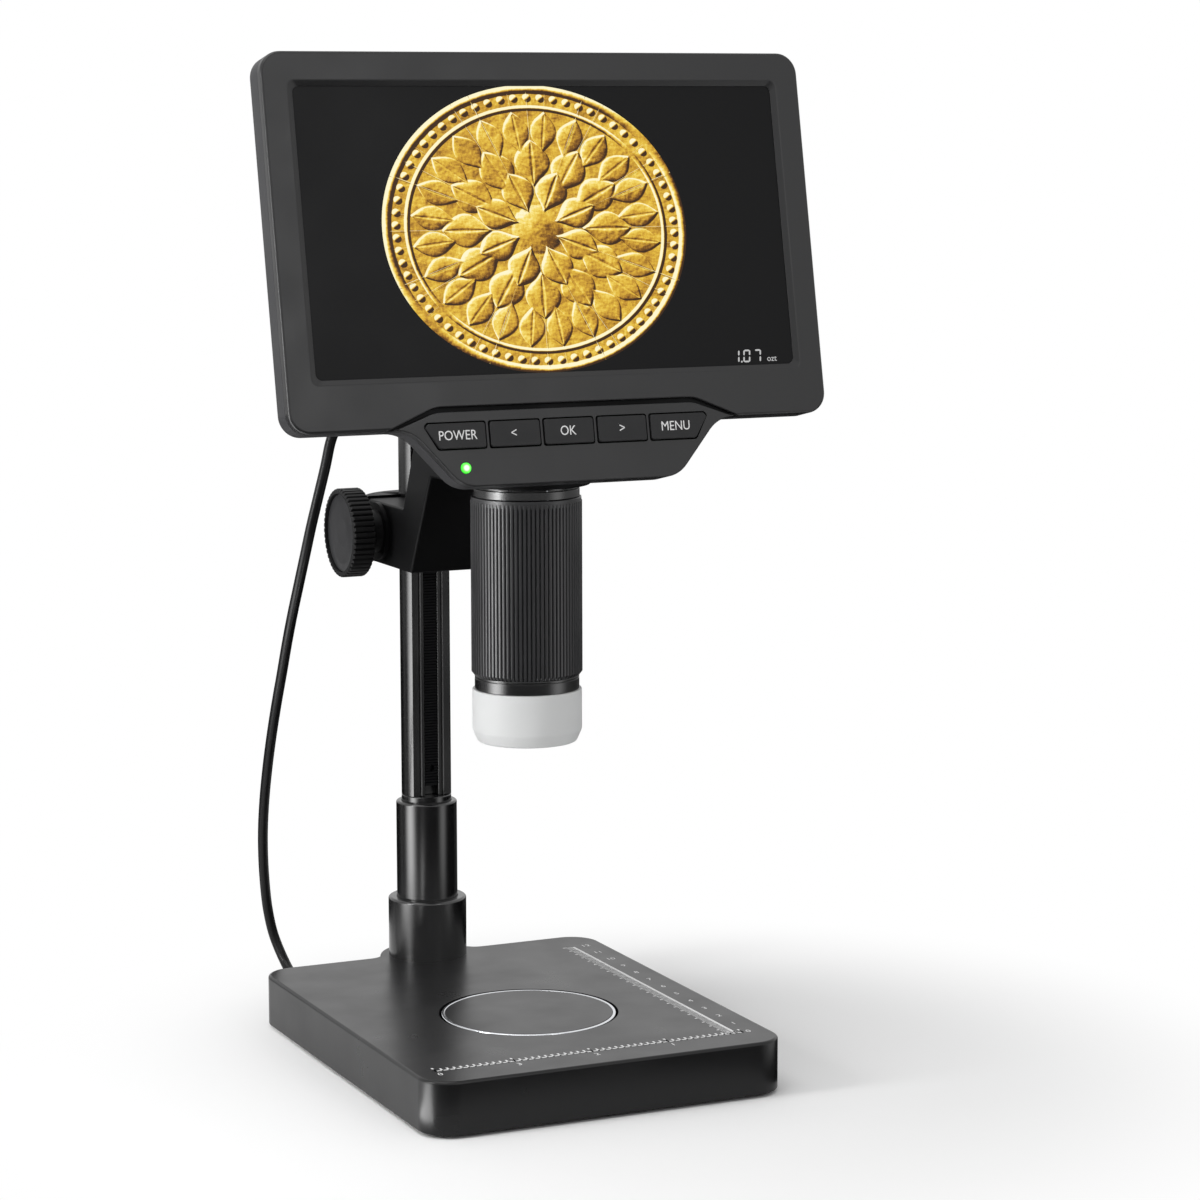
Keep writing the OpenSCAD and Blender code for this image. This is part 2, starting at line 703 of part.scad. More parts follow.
module bracket_gland() color("#151515")
    translate([-block_r, duct_y, lead_z]) rotate([0, -90, 0]) gland(6);

// ---- Pinion and knobs ----

module pinion_shaft() color("#a9abb0") translate([0, pinion_y, pinion_z0])
    x_rod(-knob_back - knob_t + 2.5, knob_back + knob_t - 2.5, shaft_r);

// The pinion's teeth are narrower than the rack's gaps, so they mesh with play
module pinion_gear() color("#b9a05a") translate([-pinion_w / 2, pinion_y, pinion_z0])
    rotate([90, 0, 90]) difference() {
        linear_extrude(pinion_w) union() {
            circle(pitch_r - 1.2 * gear_m);
            for (i = [0 : pinion_z - 1]) rotate(i * 360 / pinion_z) polygon([
                [pitch_r - 1.4 * gear_m, -tooth_pitch * 0.27], [pitch_r + 0.75 * gear_m, -tooth_pitch * 0.1],
                [pitch_r + 0.75 * gear_m, tooth_pitch * 0.1], [pitch_r - 1.4 * gear_m, tooth_pitch * 0.27]]);
        }
        translate([0, 0, -1]) cylinder(r = shaft_r + 0.01, h = pinion_w + 2);
    }

// Knob with its back at x = 0 and its face at x = knob_t
module knob() difference() {
    union() {
        rotate([90, 0, 90]) linear_extrude(knob_t) toothed(knob_r, knob_teeth, knob_tooth);
        x_rod(-(knob_back - bush_out - knob_gap), e, knob_hub_r);
    }
    x_rod(knob_t - knob_dish, knob_t + 1, knob_r - 1.6);
    x_rod(-knob_back, knob_t - 2.5, shaft_r + 0.01);
}

module knob_right() color("#111112") translate([knob_back, pinion_y, pinion_z0]) knob();

module knob_left() color("#111112") translate([-knob_back, pinion_y, pinion_z0])
    mirror([1, 0, 0]) knob();

module knob_caps() color("#3d3e40") translate([0, pinion_y, pinion_z0]) for (s = [0, 1])
    mirror([s, 0, 0]) translate([knob_back + knob_t - knob_dish, 0, 0])
        x_rod(0, knob_cap_t, knob_r - 1.6 - gap);

// ---- Screen housing ----

// The tab under the screen, with round lower corners
module tab_outline(grow = 0) {
    r = tab_r + grow;
    half = tab_half + 0.5 / tan(tab_angle) + grow / sin(tab_angle);
    side = [tab_cx + r * sin(tab_angle), tab_cz - r * cos(tab_angle)];
    polygon([[-half, 0.5], [-side[0], side[1]], [-tab_cx, tab_cz - r],
        [tab_cx, tab_cz - r], side, [half, 0.5]]);
    for (s = [-1, 1]) translate([s * tab_cx, tab_cz]) circle(r);
}

module housing_outline(inset = 0) {
    translate([0, disp_h / 2]) rrect(disp_w - 2 * inset, disp_h - 2 * inset, disp_r - inset);
    tab_outline(-inset);
    if (inset > 0) translate([0, 1]) square([2 * (tab_half - inset) - 3, 2 * inset + 2], center = true);
}

// The control panel's part above the screen housing's lower edge
module panel_upper(grow = 0) {
    polygon([[-panel_foot_half - grow, 0], [-panel_top_half - grow, panel_top + grow],
        [panel_top_half + grow, panel_top + grow], [panel_foot_half + grow, 0]]);
}

module shell_screw_spots() {
    for (i = shell_screw_xs, top = [0, 1])
        if (top || i != 0)
            translate([i * (disp_w / 2 - shell_screw_in), 0,
                top ? disp_h - shell_screw_in + 1 : shell_screw_in - 0.2]) children();
}

module rear_shell() color("#4a4b4d") in_housing() difference() {
    union() {
        difference() {
            layer(bezel_t, back_y) housing_outline();
            layer(bezel_t - 1, back_in) housing_outline(shell_wall);
        }
        translate([0, back_in, hump_cz]) rotate([-90, 0, 0])
            plate(hump[0], hump[1], hump_r, hump_y - back_in);
        shell_screw_spots() y_rod(bezel_t, back_in + e, shell_boss_r);
        for (s = [-1, 1]) translate([s * key_post_x, 0, key_cz - key_h / 2 - 2.2])
            y_rod(key_board_y + key_board_t, back_in + e, key_post_r);
    }
    translate([0, back_in - 1, hump_cz]) rotate([-90, 0, 0])
        plate(hump[0] - 2 * hump_wall, hump[1] - 2 * hump_wall, hump_r - hump_wall,
              hump_y - hump_wall - back_in + 1);
    shell_screw_spots() {
        y_rod(bezel_t - 1, back_y + 1, m2_r + run);
        y_rod(back_y - m2_head_t, back_y + 1, m2_head_r + gap);
    }
    for (p = hinge_screws_at) translate([p[0], 0, p[1]]) y_rod(back_in - 1, back_y + 1, m2_r);
}

module front_bezel() color("#333335") in_housing() difference() {
    union() {
        layer(edge_step, bezel_t) translate([0, disp_h / 2]) rrect(disp_w, disp_h, disp_r);
        layer(0, edge_step + e) translate([0, disp_h / 2])
            rrect(disp_w - 2 * edge_step, disp_h - 2 * edge_step, disp_r - edge_step);
    }
    layer(-1, bezel_t + 1) translate([0, lcd_cz])
        rrect(glass_w + 2 * rest_gap, glass_h + 2 * rest_gap, glass_r + rest_gap);
    layer(-1, bezel_t + 1) panel_upper(seam);
    layer(-1, bezel_t + 1) translate([0, -1 + e]) square([2 * (panel_foot_half + seam), 2], center = true);
    shell_screw_spots() y_rod(edge_step, bezel_t + 1, m2_r);
}

module control_panel() color("#303032") in_housing() difference() {
    union() {
        layer(0, bezel_t) tab_outline();
        layer(0, bezel_t) panel_upper();
    }
    for (i = key_xs) layer(-1, bezel_t + 1) key_outline(i, rest_gap);
    translate([led_x, 0, led_z]) y_rod(-1, bezel_t + 1, led_r + run);
}

module screen_glass() color("#141416") in_housing()
    translate([0, bezel_t - glass_t, lcd_cz]) rotate([-90, 0, 0]) plate(glass_w, glass_h, glass_r, glass_t);

module lcd_module() color("#5d6066") in_housing() translate([0, bezel_t, lcd_cz]) rotate([-90, 0, 0])
    plate(lcd_panel[0], lcd_panel[1], 1, lcd_t);

module main_board() in_housing() {
    color("#1f5a38") translate([main_board_x, hump_y - hump_wall - board_lift - board_t, hump_cz])
        rotate([-90, 0, 0]) plate(main_board[0], main_board[1], 1, board_t);
    // Stand-offs to the back of the hump
    color("#b9bcc2") for (sx = [-1, 1], sz = [-1, 1])
        translate([main_board_x + sx * (main_board[0] / 2 - 4), 0, hump_cz + sz * (main_board[1] / 2 - 4)])
            y_rod(hump_y - hump_wall - board_lift - e, hump_y - hump_wall, 1.8);
}

module battery_pack() color("#9aa3ad") in_housing()
    translate([battery_x, hump_y - hump_wall - battery_t, hump_cz]) rotate([-90, 0, 0])
        plate(battery[0], battery[1], 2, battery_t);

module key_board() color("#1f5a38") in_housing() layer(key_board_y, key_board_y + key_board_t) {
    tab_outline(-shell_wall - 1.5);
    translate([0, key_board_rise / 2]) square([key_board_w, key_board_rise], center = true);
}

module key_switches() color("#c9c9c6") in_housing() for (i = key_xs)
    translate([i * key_pitch - 2.2, switch_y, key_cz - 2.2]) cube([4.4, switch_t, 4.4]);

module status_light() color("#4be35a") in_housing() translate([led_x, 0, led_z]) {
    y_rod(-0.2, bezel_t - run, led_r);
    // Thin stem that stands on the key board
    y_rod(bezel_t - run - e, key_board_y, led_r - 0.6);
}

module shell_screws() color("#77797d") in_housing() shell_screw_spots() {
    y_rod(edge_step + 0.3, back_y - m2_head_t + e, m2_r - run);
    y_rod(back_y - m2_head_t, back_y - 0.1, m2_head_r);
}

// Plate on the housing's back with two ears that hold the hinge pin
module hinge_plate() color("#38393b") in_housing() difference() {
    union() {
        translate([0, back_y, pivot_up]) rotate([-90, 0, 0])
            plate(hinge_plate[0], hinge_plate[1], 2, hinge_plate_t);
        for (s = [-1, 1]) translate([s * (ear_in + ear_t / 2), 0, pivot_up]) {
            translate([-ear_t / 2, pivot_depth, 0]) x_rod(0, ear_t, knuckle_r);
            translate([0, (back_y + pivot_depth) / 2, 0])
                cube([ear_t, pivot_depth - back_y, 2 * knuckle_r], center = true);
        }
    }
    translate([0, pivot_depth, pivot_up]) x_rod(-pin_end - 1, pin_end + 1, pin_r + 0.01);
    for (p = hinge_screws_at) translate([p[0], 0, p[1]])
        y_rod(back_y - 1, back_y + hinge_plate_t + 1, m2_r + gap);
}

module hinge_plate_screws() color("#77797d") in_housing()
    for (p = hinge_screws_at) translate([p[0], 0, p[1]]) {
        y_rod(back_in + 0.2, back_y + hinge_plate_t + e, m2_r - run);
        y_rod(back_y + hinge_plate_t, back_y + hinge_plate_t + m2_head_t, m2_head_r);
    }

module hinge_pin() color("#a9abb0") translate([0, pivot_y, pivot_z]) {
    x_rod(-pin_end - e, pin_end + 2, pin_r);
    x_rod(-pin_end - pin_head_t, -pin_end, pin_head_r);
    x_rod(pin_end, pin_end + pin_head_t, pin_head_r);
}

module hinge_washers() color("#c7a23f") translate([0, pivot_y, pivot_z]) for (s = [-1, 1])
    difference() {
        x_rod(min(s * knuckle_w / 2, s * ear_in), max(s * knuckle_w / 2, s * ear_in), knuckle_r - 0.5);
        x_rod(-pin_end, pin_end, pin_r + run);
    }

// ---- Focus ring and lens ----

module focus_ring() color("#1c1c1d") translate([0, opt_y, grip_z]) difference() {
    union() {
        translate([0, 0, grip_chamfer]) linear_extrude(grip_len - 2 * grip_chamfer)
            toothed(grip_r, grip_ribs, rib_depth);
        cylinder(r1 = lamp_r, r2 = grip_r - 2 * rib_depth, h = grip_chamfer + 0.1);
        translate([0, 0, grip_len - grip_chamfer - 0.1])
            cylinder(r1 = grip_r - 2 * rib_depth, r2 = lamp_r, h = grip_chamfer + 0.1);
    }
    translate([0, 0, -1]) cylinder(r = tube_r + run, h = grip_len + 2);
    // Pocket for the drive pin's end
    translate([0, 0, drive_z - grip_z - lens_down - drive_r - 1])
        cylinder(r = pocket_r, h = lens_down + lens_up + 2 * drive_r + 2);
}

module lens_cell() color("#111112") translate([0, opt_y, cell_low]) difference() {
    cylinder(r = cell_r, h = lens_cell_len);
    translate([0, 0, -1]) cylinder(r = cell_r - cell_wall, h = lens_cell_len + 2);
    translate([0, 0, drive_z - cell_low]) y_rod(0, cell_r + 1, drive_r - 0.49);
}

module lens_glass() color("#9fc4d8", 0.5) for (z = [cell_low + 1.5, cell_low + 20])
    translate([0, opt_y, z]) cylinder(r = cell_r - cell_wall - 0.02, h = lens_t);

module drive_pin() color("#a9abb0") translate([0, opt_y, drive_z]) {
    y_rod(cell_r + run, drive_out, drive_r);
    y_rod(cell_r - cell_wall + 0.2, cell_r + run + e, drive_r - 0.5);
}

// ---- Keys ----

// Outline of key i: the end keys run out to a slanted point
module key_outline(i, grow = 0) {
    x0 = i * key_pitch;
    s = sign(i);
    h = key_h / 2 + grow;
    w = key_w / 2 + grow;
    if (abs(i) < 2) translate([x0, key_cz]) square([2 * w, 2 * h], center = true);
    else polygon([[x0 - s * w, key_cz + h], [x0 - s * w, key_cz - h],
        [x0 + s * (w - 1.1), key_cz - h], [x0 + s * (w + end_key_extra + 1.6), key_cz + h - 1.2],
        [x0 + s * (w + end_key_extra + 0.6), key_cz + h]]);
}

// Cap, retaining lip behind the panel and a stem over the switch
module key(i) color("#2b2b2d") in_housing() {
    layer(-key_proud, bezel_t - run) key_outline(i);
    translate([i * key_pitch, 0, key_cz]) {
        layer(bezel_t - run - e, key_lip_y + e) square([key_w - 2 * key_lip_in, key_h], center = true);
        layer(key_lip_y, key_back)
            square([key_w - 2 * key_lip_in, key_h + 2 * key_lip], center = true);
    }
}

module key_power() key(-2);
module key_left() key(-1);
module key_ok() key(0);
module key_right() key(1);
module key_menu() key(2);

// ---- Lead ----

function unit(v) = v / norm(v);
function spline(a, b, c, d, t) = 0.5 * (2 * b + (c - a) * t + (2 * a - 5 * b + 4 * c - d) * t * t
    + (3 * b - 3 * c + d - a) * t * t * t);
lead_last = len(lead_route) - 1;
function lead_knot(i) = i < 0 ? 2 * lead_route[0] - lead_route[1]
    : i > lead_last ? 2 * lead_route[lead_last] - lead_route[lead_last - 1] : lead_route[i];
// Two rings for each stretch of the route
lead_path = concat([for (i = [0 : lead_last - 1], t = [0, 0.5])
    spline(lead_knot(i - 1), lead_knot(i), lead_knot(i + 1), lead_knot(i + 2), t)], [lead_route[lead_last]]);
lead_rings = len(lead_path);
function lead_dir(i) = i == 0 ? [-1, 0, 0] : i == lead_rings - 1 ? [0, -1, 0]
    : unit(lead_path[i + 1] - lead_path[i - 1]);

module lead() color("#121213") {
    side = [for (i = [0 : lead_rings - 1]) unit(cross(lead_dir(i), [1, 1, 0]))];
    pts = [for (i = [0 : lead_rings - 1], k = [0 : lead_sides - 1])
        let (a = k * 360 / lead_sides)
        lead_path[i] + lead_r * (cos(a) * side[i] + sin(a) * cross(lead_dir(i), side[i]))];
    polyhedron(pts, concat(
        [[for (k = [0 : lead_sides - 1]) k]],
        [for (i = [0 : lead_rings - 2], k = [0 : lead_sides - 1])
            let (n = (k + 1) % lead_sides, a = i * lead_sides, b = a + lead_sides)
                [a + k, b + k, b + n, a + n]],
        [[for (k = [lead_sides - 1 : -1 : 0]) (lead_rings - 1) * lead_sides + k]]));
}

base_housing();
base_cover();
feet();
cover_screws();
load_cell();
load_cell_screws();
base_board();
base_gland();
collar();
sleeve();
column();
rack();
rack_screws();
column_bolt();
column_cap();
lead();
pan_disc();
pan_ring();
pan_carrier();
bracket();
camera_board();
lens_barrel();
barrel_screws();
lamp_collar();
lamp_board();
diffuser_cap();
brake_pad();
brake_screw();
shaft_bushes();
bracket_gland();
pinion_shaft();
pinion_gear();
knob_left();
knob_right();
knob_caps();
rear_shell();
front_bezel();
control_panel();
screen_glass();
lcd_module();
main_board();
battery_pack();
key_board();
key_switches();
status_light();
shell_screws();
hinge_plate();
hinge_plate_screws();
hinge_pin();
hinge_washers();
focus_ring();
lens_cell();
lens_glass();
drive_pin();
key_power();
key_left();
key_ok();
key_right();
key_menu();
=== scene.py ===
# Desk microscope: a screen and a ribbed focus barrel on a rack-and-pinion stand, over a base with a weighing
# pan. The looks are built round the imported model. Lengths in the dictionaries are millimetres.
import math

import bmesh
import bpy
from mathutils import Matrix, Vector


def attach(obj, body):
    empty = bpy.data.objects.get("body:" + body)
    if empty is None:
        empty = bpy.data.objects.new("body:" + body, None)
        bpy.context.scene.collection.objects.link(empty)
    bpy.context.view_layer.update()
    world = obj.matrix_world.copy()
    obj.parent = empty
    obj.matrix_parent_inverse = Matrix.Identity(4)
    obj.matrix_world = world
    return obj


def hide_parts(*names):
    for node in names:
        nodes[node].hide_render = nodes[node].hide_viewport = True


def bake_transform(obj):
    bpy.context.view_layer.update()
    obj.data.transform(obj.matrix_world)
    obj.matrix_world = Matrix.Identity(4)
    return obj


mm = 0.001
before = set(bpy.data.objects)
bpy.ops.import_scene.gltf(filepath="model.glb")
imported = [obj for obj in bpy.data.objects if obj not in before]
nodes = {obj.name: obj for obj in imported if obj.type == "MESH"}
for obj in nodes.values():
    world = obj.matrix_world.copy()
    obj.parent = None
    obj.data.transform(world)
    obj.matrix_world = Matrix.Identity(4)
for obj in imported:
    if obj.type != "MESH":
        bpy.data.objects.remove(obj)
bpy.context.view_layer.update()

# Places that several pieces share
stand = {"frontY": -83.75, "backY": 65.25, "halfWidth": 59, "topZ": 17.4, "opticY": -20.55, "columnY": 63.75,
         "pinionY": 53.05, "pinionZ": 162.5}
# The screen housing has its own frame: x across, depth into the housing, z up along the screen
housing = {"y": -52.05, "z": 205.4, "lean": 11.5, "width": 175.4, "height": 112, "corner": 6.5,
           "tabHalf": 50.4, "tabHeight": 17.5, "tabAngle": 49.06, "tabCorner": 10, "tabFillet": 11}

upright = Matrix.Rotation(math.radians(90), 4, "X")
toLeft = Matrix.Rotation(math.radians(-90), 4, "Y")
toRight = Matrix.Rotation(math.radians(90), 4, "Y")
toBack = Matrix.Rotation(math.radians(-90), 4, "X")
# Turns a drawing of y and z, extruded upwards, into a side view extruded along x
sideways = Matrix(((0, 0, 1, 0), (1, 0, 0, 0), (0, 1, 0, 0), (0, 0, 0, 1)))


def at(x=0.0, y=0.0, z=0.0):
    return Matrix.Translation(Vector((x, y, z)) * mm)


def onHousing(depth, x=0.0, up=0.0):
    # A drawing's x and y become x and z of the housing, and its extrusion comes forwards from that depth
    return (at(0, housing["y"], housing["z"]) @ Matrix.Rotation(-math.radians(housing["lean"]), 4, "X")
            @ at(x, depth, up) @ upright)


onOptic = at(0, stand["opticY"])
onColumn = at(0, stand["columnY"])
onPinion = at(0, stand["pinionY"], stand["pinionZ"])


def deselectAll():
    if bpy.context.mode != "OBJECT":
        bpy.ops.object.mode_set(mode="OBJECT")
    bpy.ops.object.select_all(action="DESELECT")


def makeActive(piece):
    deselectAll()
    bpy.context.view_layer.objects.active = piece
    piece.select_set(True)


def startEdit(piece):
    makeActive(piece)
    bpy.ops.object.mode_set(mode="EDIT")


def endEdit():
    bpy.ops.object.mode_set(mode="OBJECT")


def selectAll():
    bpy.ops.mesh.select_all(action="SELECT")


def pick(kind, test):
    # Selects the vertices, edges or faces of the piece in edit mode that pass the test
    bpy.ops.mesh.select_mode(type=kind)
    bpy.ops.mesh.select_all(action="DESELECT")
    mesh = bmesh.from_edit_mesh(bpy.context.edit_object.data)
    for element in {"EDGE": mesh.edges, "FACE": mesh.faces}[kind]:
        if test(element):
            element.select_set(True)
    mesh.select_flush_mode()
    bmesh.update_edit_mesh(bpy.context.edit_object.data)


def pull(height):
    # Extrudes what is selected along z
    bpy.ops.mesh.extrude_region_move(TRANSFORM_OT_translate={"value": (0, 0, height * mm)})


def scalePicked(x, y, about=(0, 0, 0)):
    bpy.ops.transform.resize(value=(x, y, 1), center_override=about)


def settle(piece, place):
    # Puts the piece in its place and writes that place into the mesh
    piece.matrix_world = place @ piece.matrix_world
    makeActive(piece)
    bpy.ops.object.transform_apply(location=True, rotation=True, scale=True)
    return piece


def modify(piece, kind, settings):
    # Adds a modifier with those settings and applies it
    makeActive(piece)
    bpy.ops.object.modifier_add(type=kind)
    modifier = piece.modifiers[-1]
    for name, value in settings.items():
        setattr(modifier, name, value)
    bpy.ops.object.modifier_apply(modifier=modifier.name)
    return piece


def arc(centre, radius, start, turn, steps):
    # Points along an arc, with both its ends
    angles = [start + turn * k / steps for k in range(steps + 1)]
    return [Vector(centre) + Vector((math.cos(angle), math.sin(angle))) * radius for angle in angles]


def roundedOutline(corners, step=10):
    # Corners are (x, y, radius). Each gets an arc that touches both its edges, in steps of so many degrees
    points = []
    for index, (x, y, radius) in enumerate(corners):
        here = Vector((x, y))
        if radius == 0:
            points.append(here)
            continue
        before = (Vector(corners[index - 1][:2]) - here).normalized()
        after = (Vector(corners[(index + 1) % len(corners)][:2]) - here).normalized()
        half = before.angle(after) / 2
        centre = here + (before + after).normalized() * radius / math.sin(half)
        first = here + before * radius / math.tan(half) - centre
        last = here + after * radius / math.tan(half) - centre
        start = math.atan2(first.y, first.x)
        turn = (math.atan2(last.y, last.x) - start + math.pi) % (2 * math.pi) - math.pi
        points += arc(centre, radius, start, turn, max(2, round(abs(math.degrees(turn)) / step)))
    return points


def roundedBox(width, height, corner, x=0.0, y=0.0, step=10):
    return roundedOutline([(x + sx * width / 2, y + sy * height / 2, corner)
                           for sx, sy in ((-1, -1), (1, -1), (1, 1), (-1, 1))], step)


def startRing(name, points, fill):
    # A circle whose corners are moved to the points, left selected in edit mode
    deselectAll()
    bpy.ops.mesh.primitive_circle_add(vertices=len(points), radius=1, fill_type=fill)
    piece = bpy.context.object
    piece.name = piece.data.name = name
    for vertex, point in zip(piece.data.vertices, points):
        vertex.co = [part * mm for part in point]
    startEdit(piece)
    selectAll()
    return piece


def finishRing(piece, place):
    selectAll()
    bpy.ops.mesh.normals_make_consistent(inside=False)
    endEdit()
    return settle(piece, place)


def outlinePlate(name, points, thickness, place=Matrix()):
    # A filled outline, extruded upwards
    plate = startRing(name, [(x, y, 0) for x, y in points], "NGON")
    pull(thickness)
    return finishRing(plate, place)


def spunPiece(name, profile, place=Matrix(), steps=96):
    # The profile's corners are (radius, height, rounding). They make a ring that is spun round the z axis
    piece = startRing(name, [(x, 0, z) for x, z in roundedOutline(profile, 15)], "NOTHING")
    bpy.ops.mesh.spin(steps=steps, angle=2 * math.pi, center=(0, 0, 0), axis=(0, 0, 1), use_auto_merge=True)
    selectAll()
    bpy.ops.mesh.remove_doubles(threshold=1e-6)
    bpy.ops.mesh.dissolve_degenerate(threshold=1e-7)
    return finishRing(piece, place)


def rod(radius, low, high, place=Matrix(), sides=64):
    # A plain cylinder along z for cuts and joins
    deselectAll()
    bpy.ops.mesh.primitive_cylinder_add(vertices=sides, radius=radius * mm, depth=(high - low) * mm,
                                        location=(0, 0, (high + low) / 2 * mm))
    return settle(bpy.context.object, place)


def combine(piece, others, operation):
    # Boolean with each of the other pieces, which are used up
    for other in others:
        modify(piece, "BOOLEAN", {"object": other, "operation": operation, "solver": "EXACT"})
        bpy.data.objects.remove(other)
    return piece


def cut(piece, *cutters):
    return combine(piece, cutters, "DIFFERENCE")


def weld(piece, *others):
    return combine(piece, others, "UNION")


def atLevel(level):
    # True for an edge that lies in that plane of z
    return lambda edge: all(abs(v.co.z - level * mm) < 1e-6 for v in edge.verts)


def bevelPicked(test, offset, segments):
    pick("EDGE", test)
    bpy.ops.mesh.bevel(offset=offset * mm, segments=segments, profile=0.5, affect="EDGES")


def roundLevels(piece, *rounds):
    # Bevels the edges at some heights. Each round is (height, width, segments)
    startEdit(piece)
    for level, offset, segments in rounds:
        bevelPicked(atLevel(level), offset, segments)
    endEdit()
    return piece


def soften(piece, width, angle, segments):
    # Rounds every edge that is sharper than the angle
    return modify(piece, "BEVEL", {"width": width * mm, "segments": segments, "limit_method": "ANGLE",
                                   "angle_limit": math.radians(angle), "use_clamp_overlap": False})


def smoothShade(piece, angle=32):
    # Large flat faces keep their own normal, and the rounded edges run into them
    makeActive(piece)
    bpy.ops.object.shade_smooth_by_angle(angle=math.radians(angle))
    return modify(piece, "WEIGHTED_NORMAL", {"keep_sharp": True})


def joinAll(name, pieces):
    makeActive(pieces[0])
    for piece in pieces:
        piece.select_set(True)
    bpy.ops.object.join()
    pieces[0].name = pieces[0].data.name = name
    return pieces[0]


def dress(piece, material, body, slot, *replaced):
    # The material is given by itself, or by its name in the table of finishes
    piece.data.materials.clear()
    piece.data.materials.append(finish(material) if isinstance(material, str) else material)
    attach(piece, body)
    if replaced:
        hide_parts(*replaced)
    return piece


def dressedSpin(name, profile, place, steps, *looks):
    return dress(smoothShade(spunPiece(name, profile, place, steps)), *looks)


# Each finish has a colour, roughness, metallic, (index of refraction, specular level), (size and height of
# its grain), (lowest and highest roughness) and the size of the patches over which the roughness drifts.
# None keeps the shader's own value
finishes = {
    # Satin powder coat on die-cast metal: an even black with a soft grey sheen and faint orange peel
    "satinPowderCoat": ("#111112", 0.3, 0.0, (1.5, 0.3), (1.1, 0.008), (0.27, 0.34), 18),
    # Painted steel, close to the coat round it
    "satinPaintedSteel": ("#111112", 0.3, 0.0, (1.5, 0.3), (0.9, 0.006), (0.27, 0.34), 18),
    # Smooth enamel on steel tube: long clean highlights down its length
    "blackTubeEnamel": ("#0c0c0d", 0.24, 0.0, (1.5, 0.8), (2.5, 0.003), (0.2, 0.27), 30),
    # Bead-blasted aluminium, dyed black: dull, with soft light on the edges
    "blackAnodisedAluminium": ("#0a0a0b", 0.48, 0.1, (None, 0.1), (0.35, 0.005), (0.46, 0.54), 18),
    # Turned aluminium, dyed black
    "turnedBlackAluminium": ("#28282a", 0.34, 0.25, (None, 0.8), (0.3, 0.003), (0.3, 0.38), 18),
    # Turned and polished ring: narrow bright reflections
    "glossBlackRing": ("#0c0c0d", 0.26, 0.0, (1.5, 1.0), (1.5, 0.002), (0.22, 0.3), 18),
    # Moulded ABS with a spark-eroded skin: matt dark grey, very fine grain
    "mouldedShellPlastic": ("#2a2a2c", 0.5, 0.0, (1.53, 0.25), (0.45, 0.01), (0.45, 0.56), 18),
    # Satin ABS: smoother than the shell, so that its front takes a slight sheen
    "satinBezelPlastic": ("#1d1d1e", 0.38, 0.0, (1.53, 0.37), (0.5, 0.005), (0.34, 0.42), 18),
    # Satin ABS key caps, a touch smoother where fingers rub them
    "satinKeyPlastic": ("#242425", 0.4, 0.0, (1.53, 0.2), (0.5, 0.005), (0.36, 0.46), 6),
    # Glass-filled nylon: deep black with a dry surface
    "mattBlackNylon": ("#0c0c0d", 0.45, 0.0, (1.53, 0.2), (0.6, 0.012), (0.44, 0.58), 8),
    # Frosted polycarbonate, about 1.6 mm thick: milky, light sinks in a little and comes out soft
    "frostedPolycarbonate": ("#d2d3d3", 0.42, 0.0, (1.58, 0.1), (0.25, 0.01), (0.38, 0.48), 18),
    # Soft PVC: satin, with a faint mottle from extrusion
    "pvcCableJacket": ("#0d0d0e", 0.34, 0.0, (1.52, 0.2), (1.6, 0.01), (0.3, 0.42), 9),
    # Moulded rubber: flat black with no gleam
    "mouldedRubber": ("#0a0a0b", 0.7, 0.0, (1.52, 0.2), (0.8, 0.02), (0.62, 0.8), 18),
    # Hard-coated acrylic over a dark panel: even black, a soft broad sheen rather than a mirror
    "coatedAcrylicWindow": ("#111112", 0.35, 0.0, (1.45, 0.13), (4, 0.0008), (0.3, 0.4), 40),
    # Pad-printed ink
    "whitePrintInk": ("#e6e6e6", 0.55, 0.0, (1.5, None), (0.3, 0.003), (0.5, 0.62), 18),
    "polishedStainless": ("#dcdee2", 0.12, 1.0, (None, None), (3, 0.001), (0.08, 0.18), 18),
    # Hardened steel with a black oxide skin, as on racks and screws
    "blackOxideSteel": ("#121214", 0.42, 0.5, (None, 0.2), (0.5, 0.006), (0.36, 0.5), 18),
    # Light grey with a faint mottle
    "zincPlatedSteel": ("#a9abaf", 0.34, 1.0, (None, None), (0.8, 0.004), (0.28, 0.42), 3),
    # Pale, with a fine scuff
    "milledAluminium": ("#c2c4c8", 0.36, 1.0, (None, None), (0.4, 0.006), (0.3, 0.44), 6),
    # Warm and slightly pitted
    "sinteredBronze": ("#b08a4c", 0.4, 1.0, (None, None), (0.3, 0.01), (0.34, 0.5), 4),
    # Cream, waxy
    "naturalNylon": ("#ddd9cc", 0.5, 0.0, (1.53, None), (0.7, 0.008), (0.45, 0.58), 18),
    # Crimped aluminium pouch of a flat battery
    "foilPouch": ("#9aa0a8", 0.3, 0.8, (None, None), (2.2, 0.05), (0.24, 0.4), 18),
    "coatedCrownGlass": ("#e8f2f4", 0.02, 0.0, (1.52, None), (5, 0.0002), (0.01, 0.04), 18)}
furtherSockets = {
    "frostedPolycarbonate": {"Subsurface Weight": 0.35, "Subsurface Radius": (0.003, 0.003, 0.003),
                             "Subsurface Scale": 0.6},
    "coatedCrownGlass": {"Transmission Weight": 1.0}}


def linearColour(text):
    # sRGB hex to the linear values that the shaders take
    shares = [int(text[k:k + 2], 16) / 255 for k in (1, 3, 5)]
    return (*[v / 12.92 if v <= 0.04045 else ((v + 0.055) / 1.055) ** 2.4 for v in shares], 1.0)


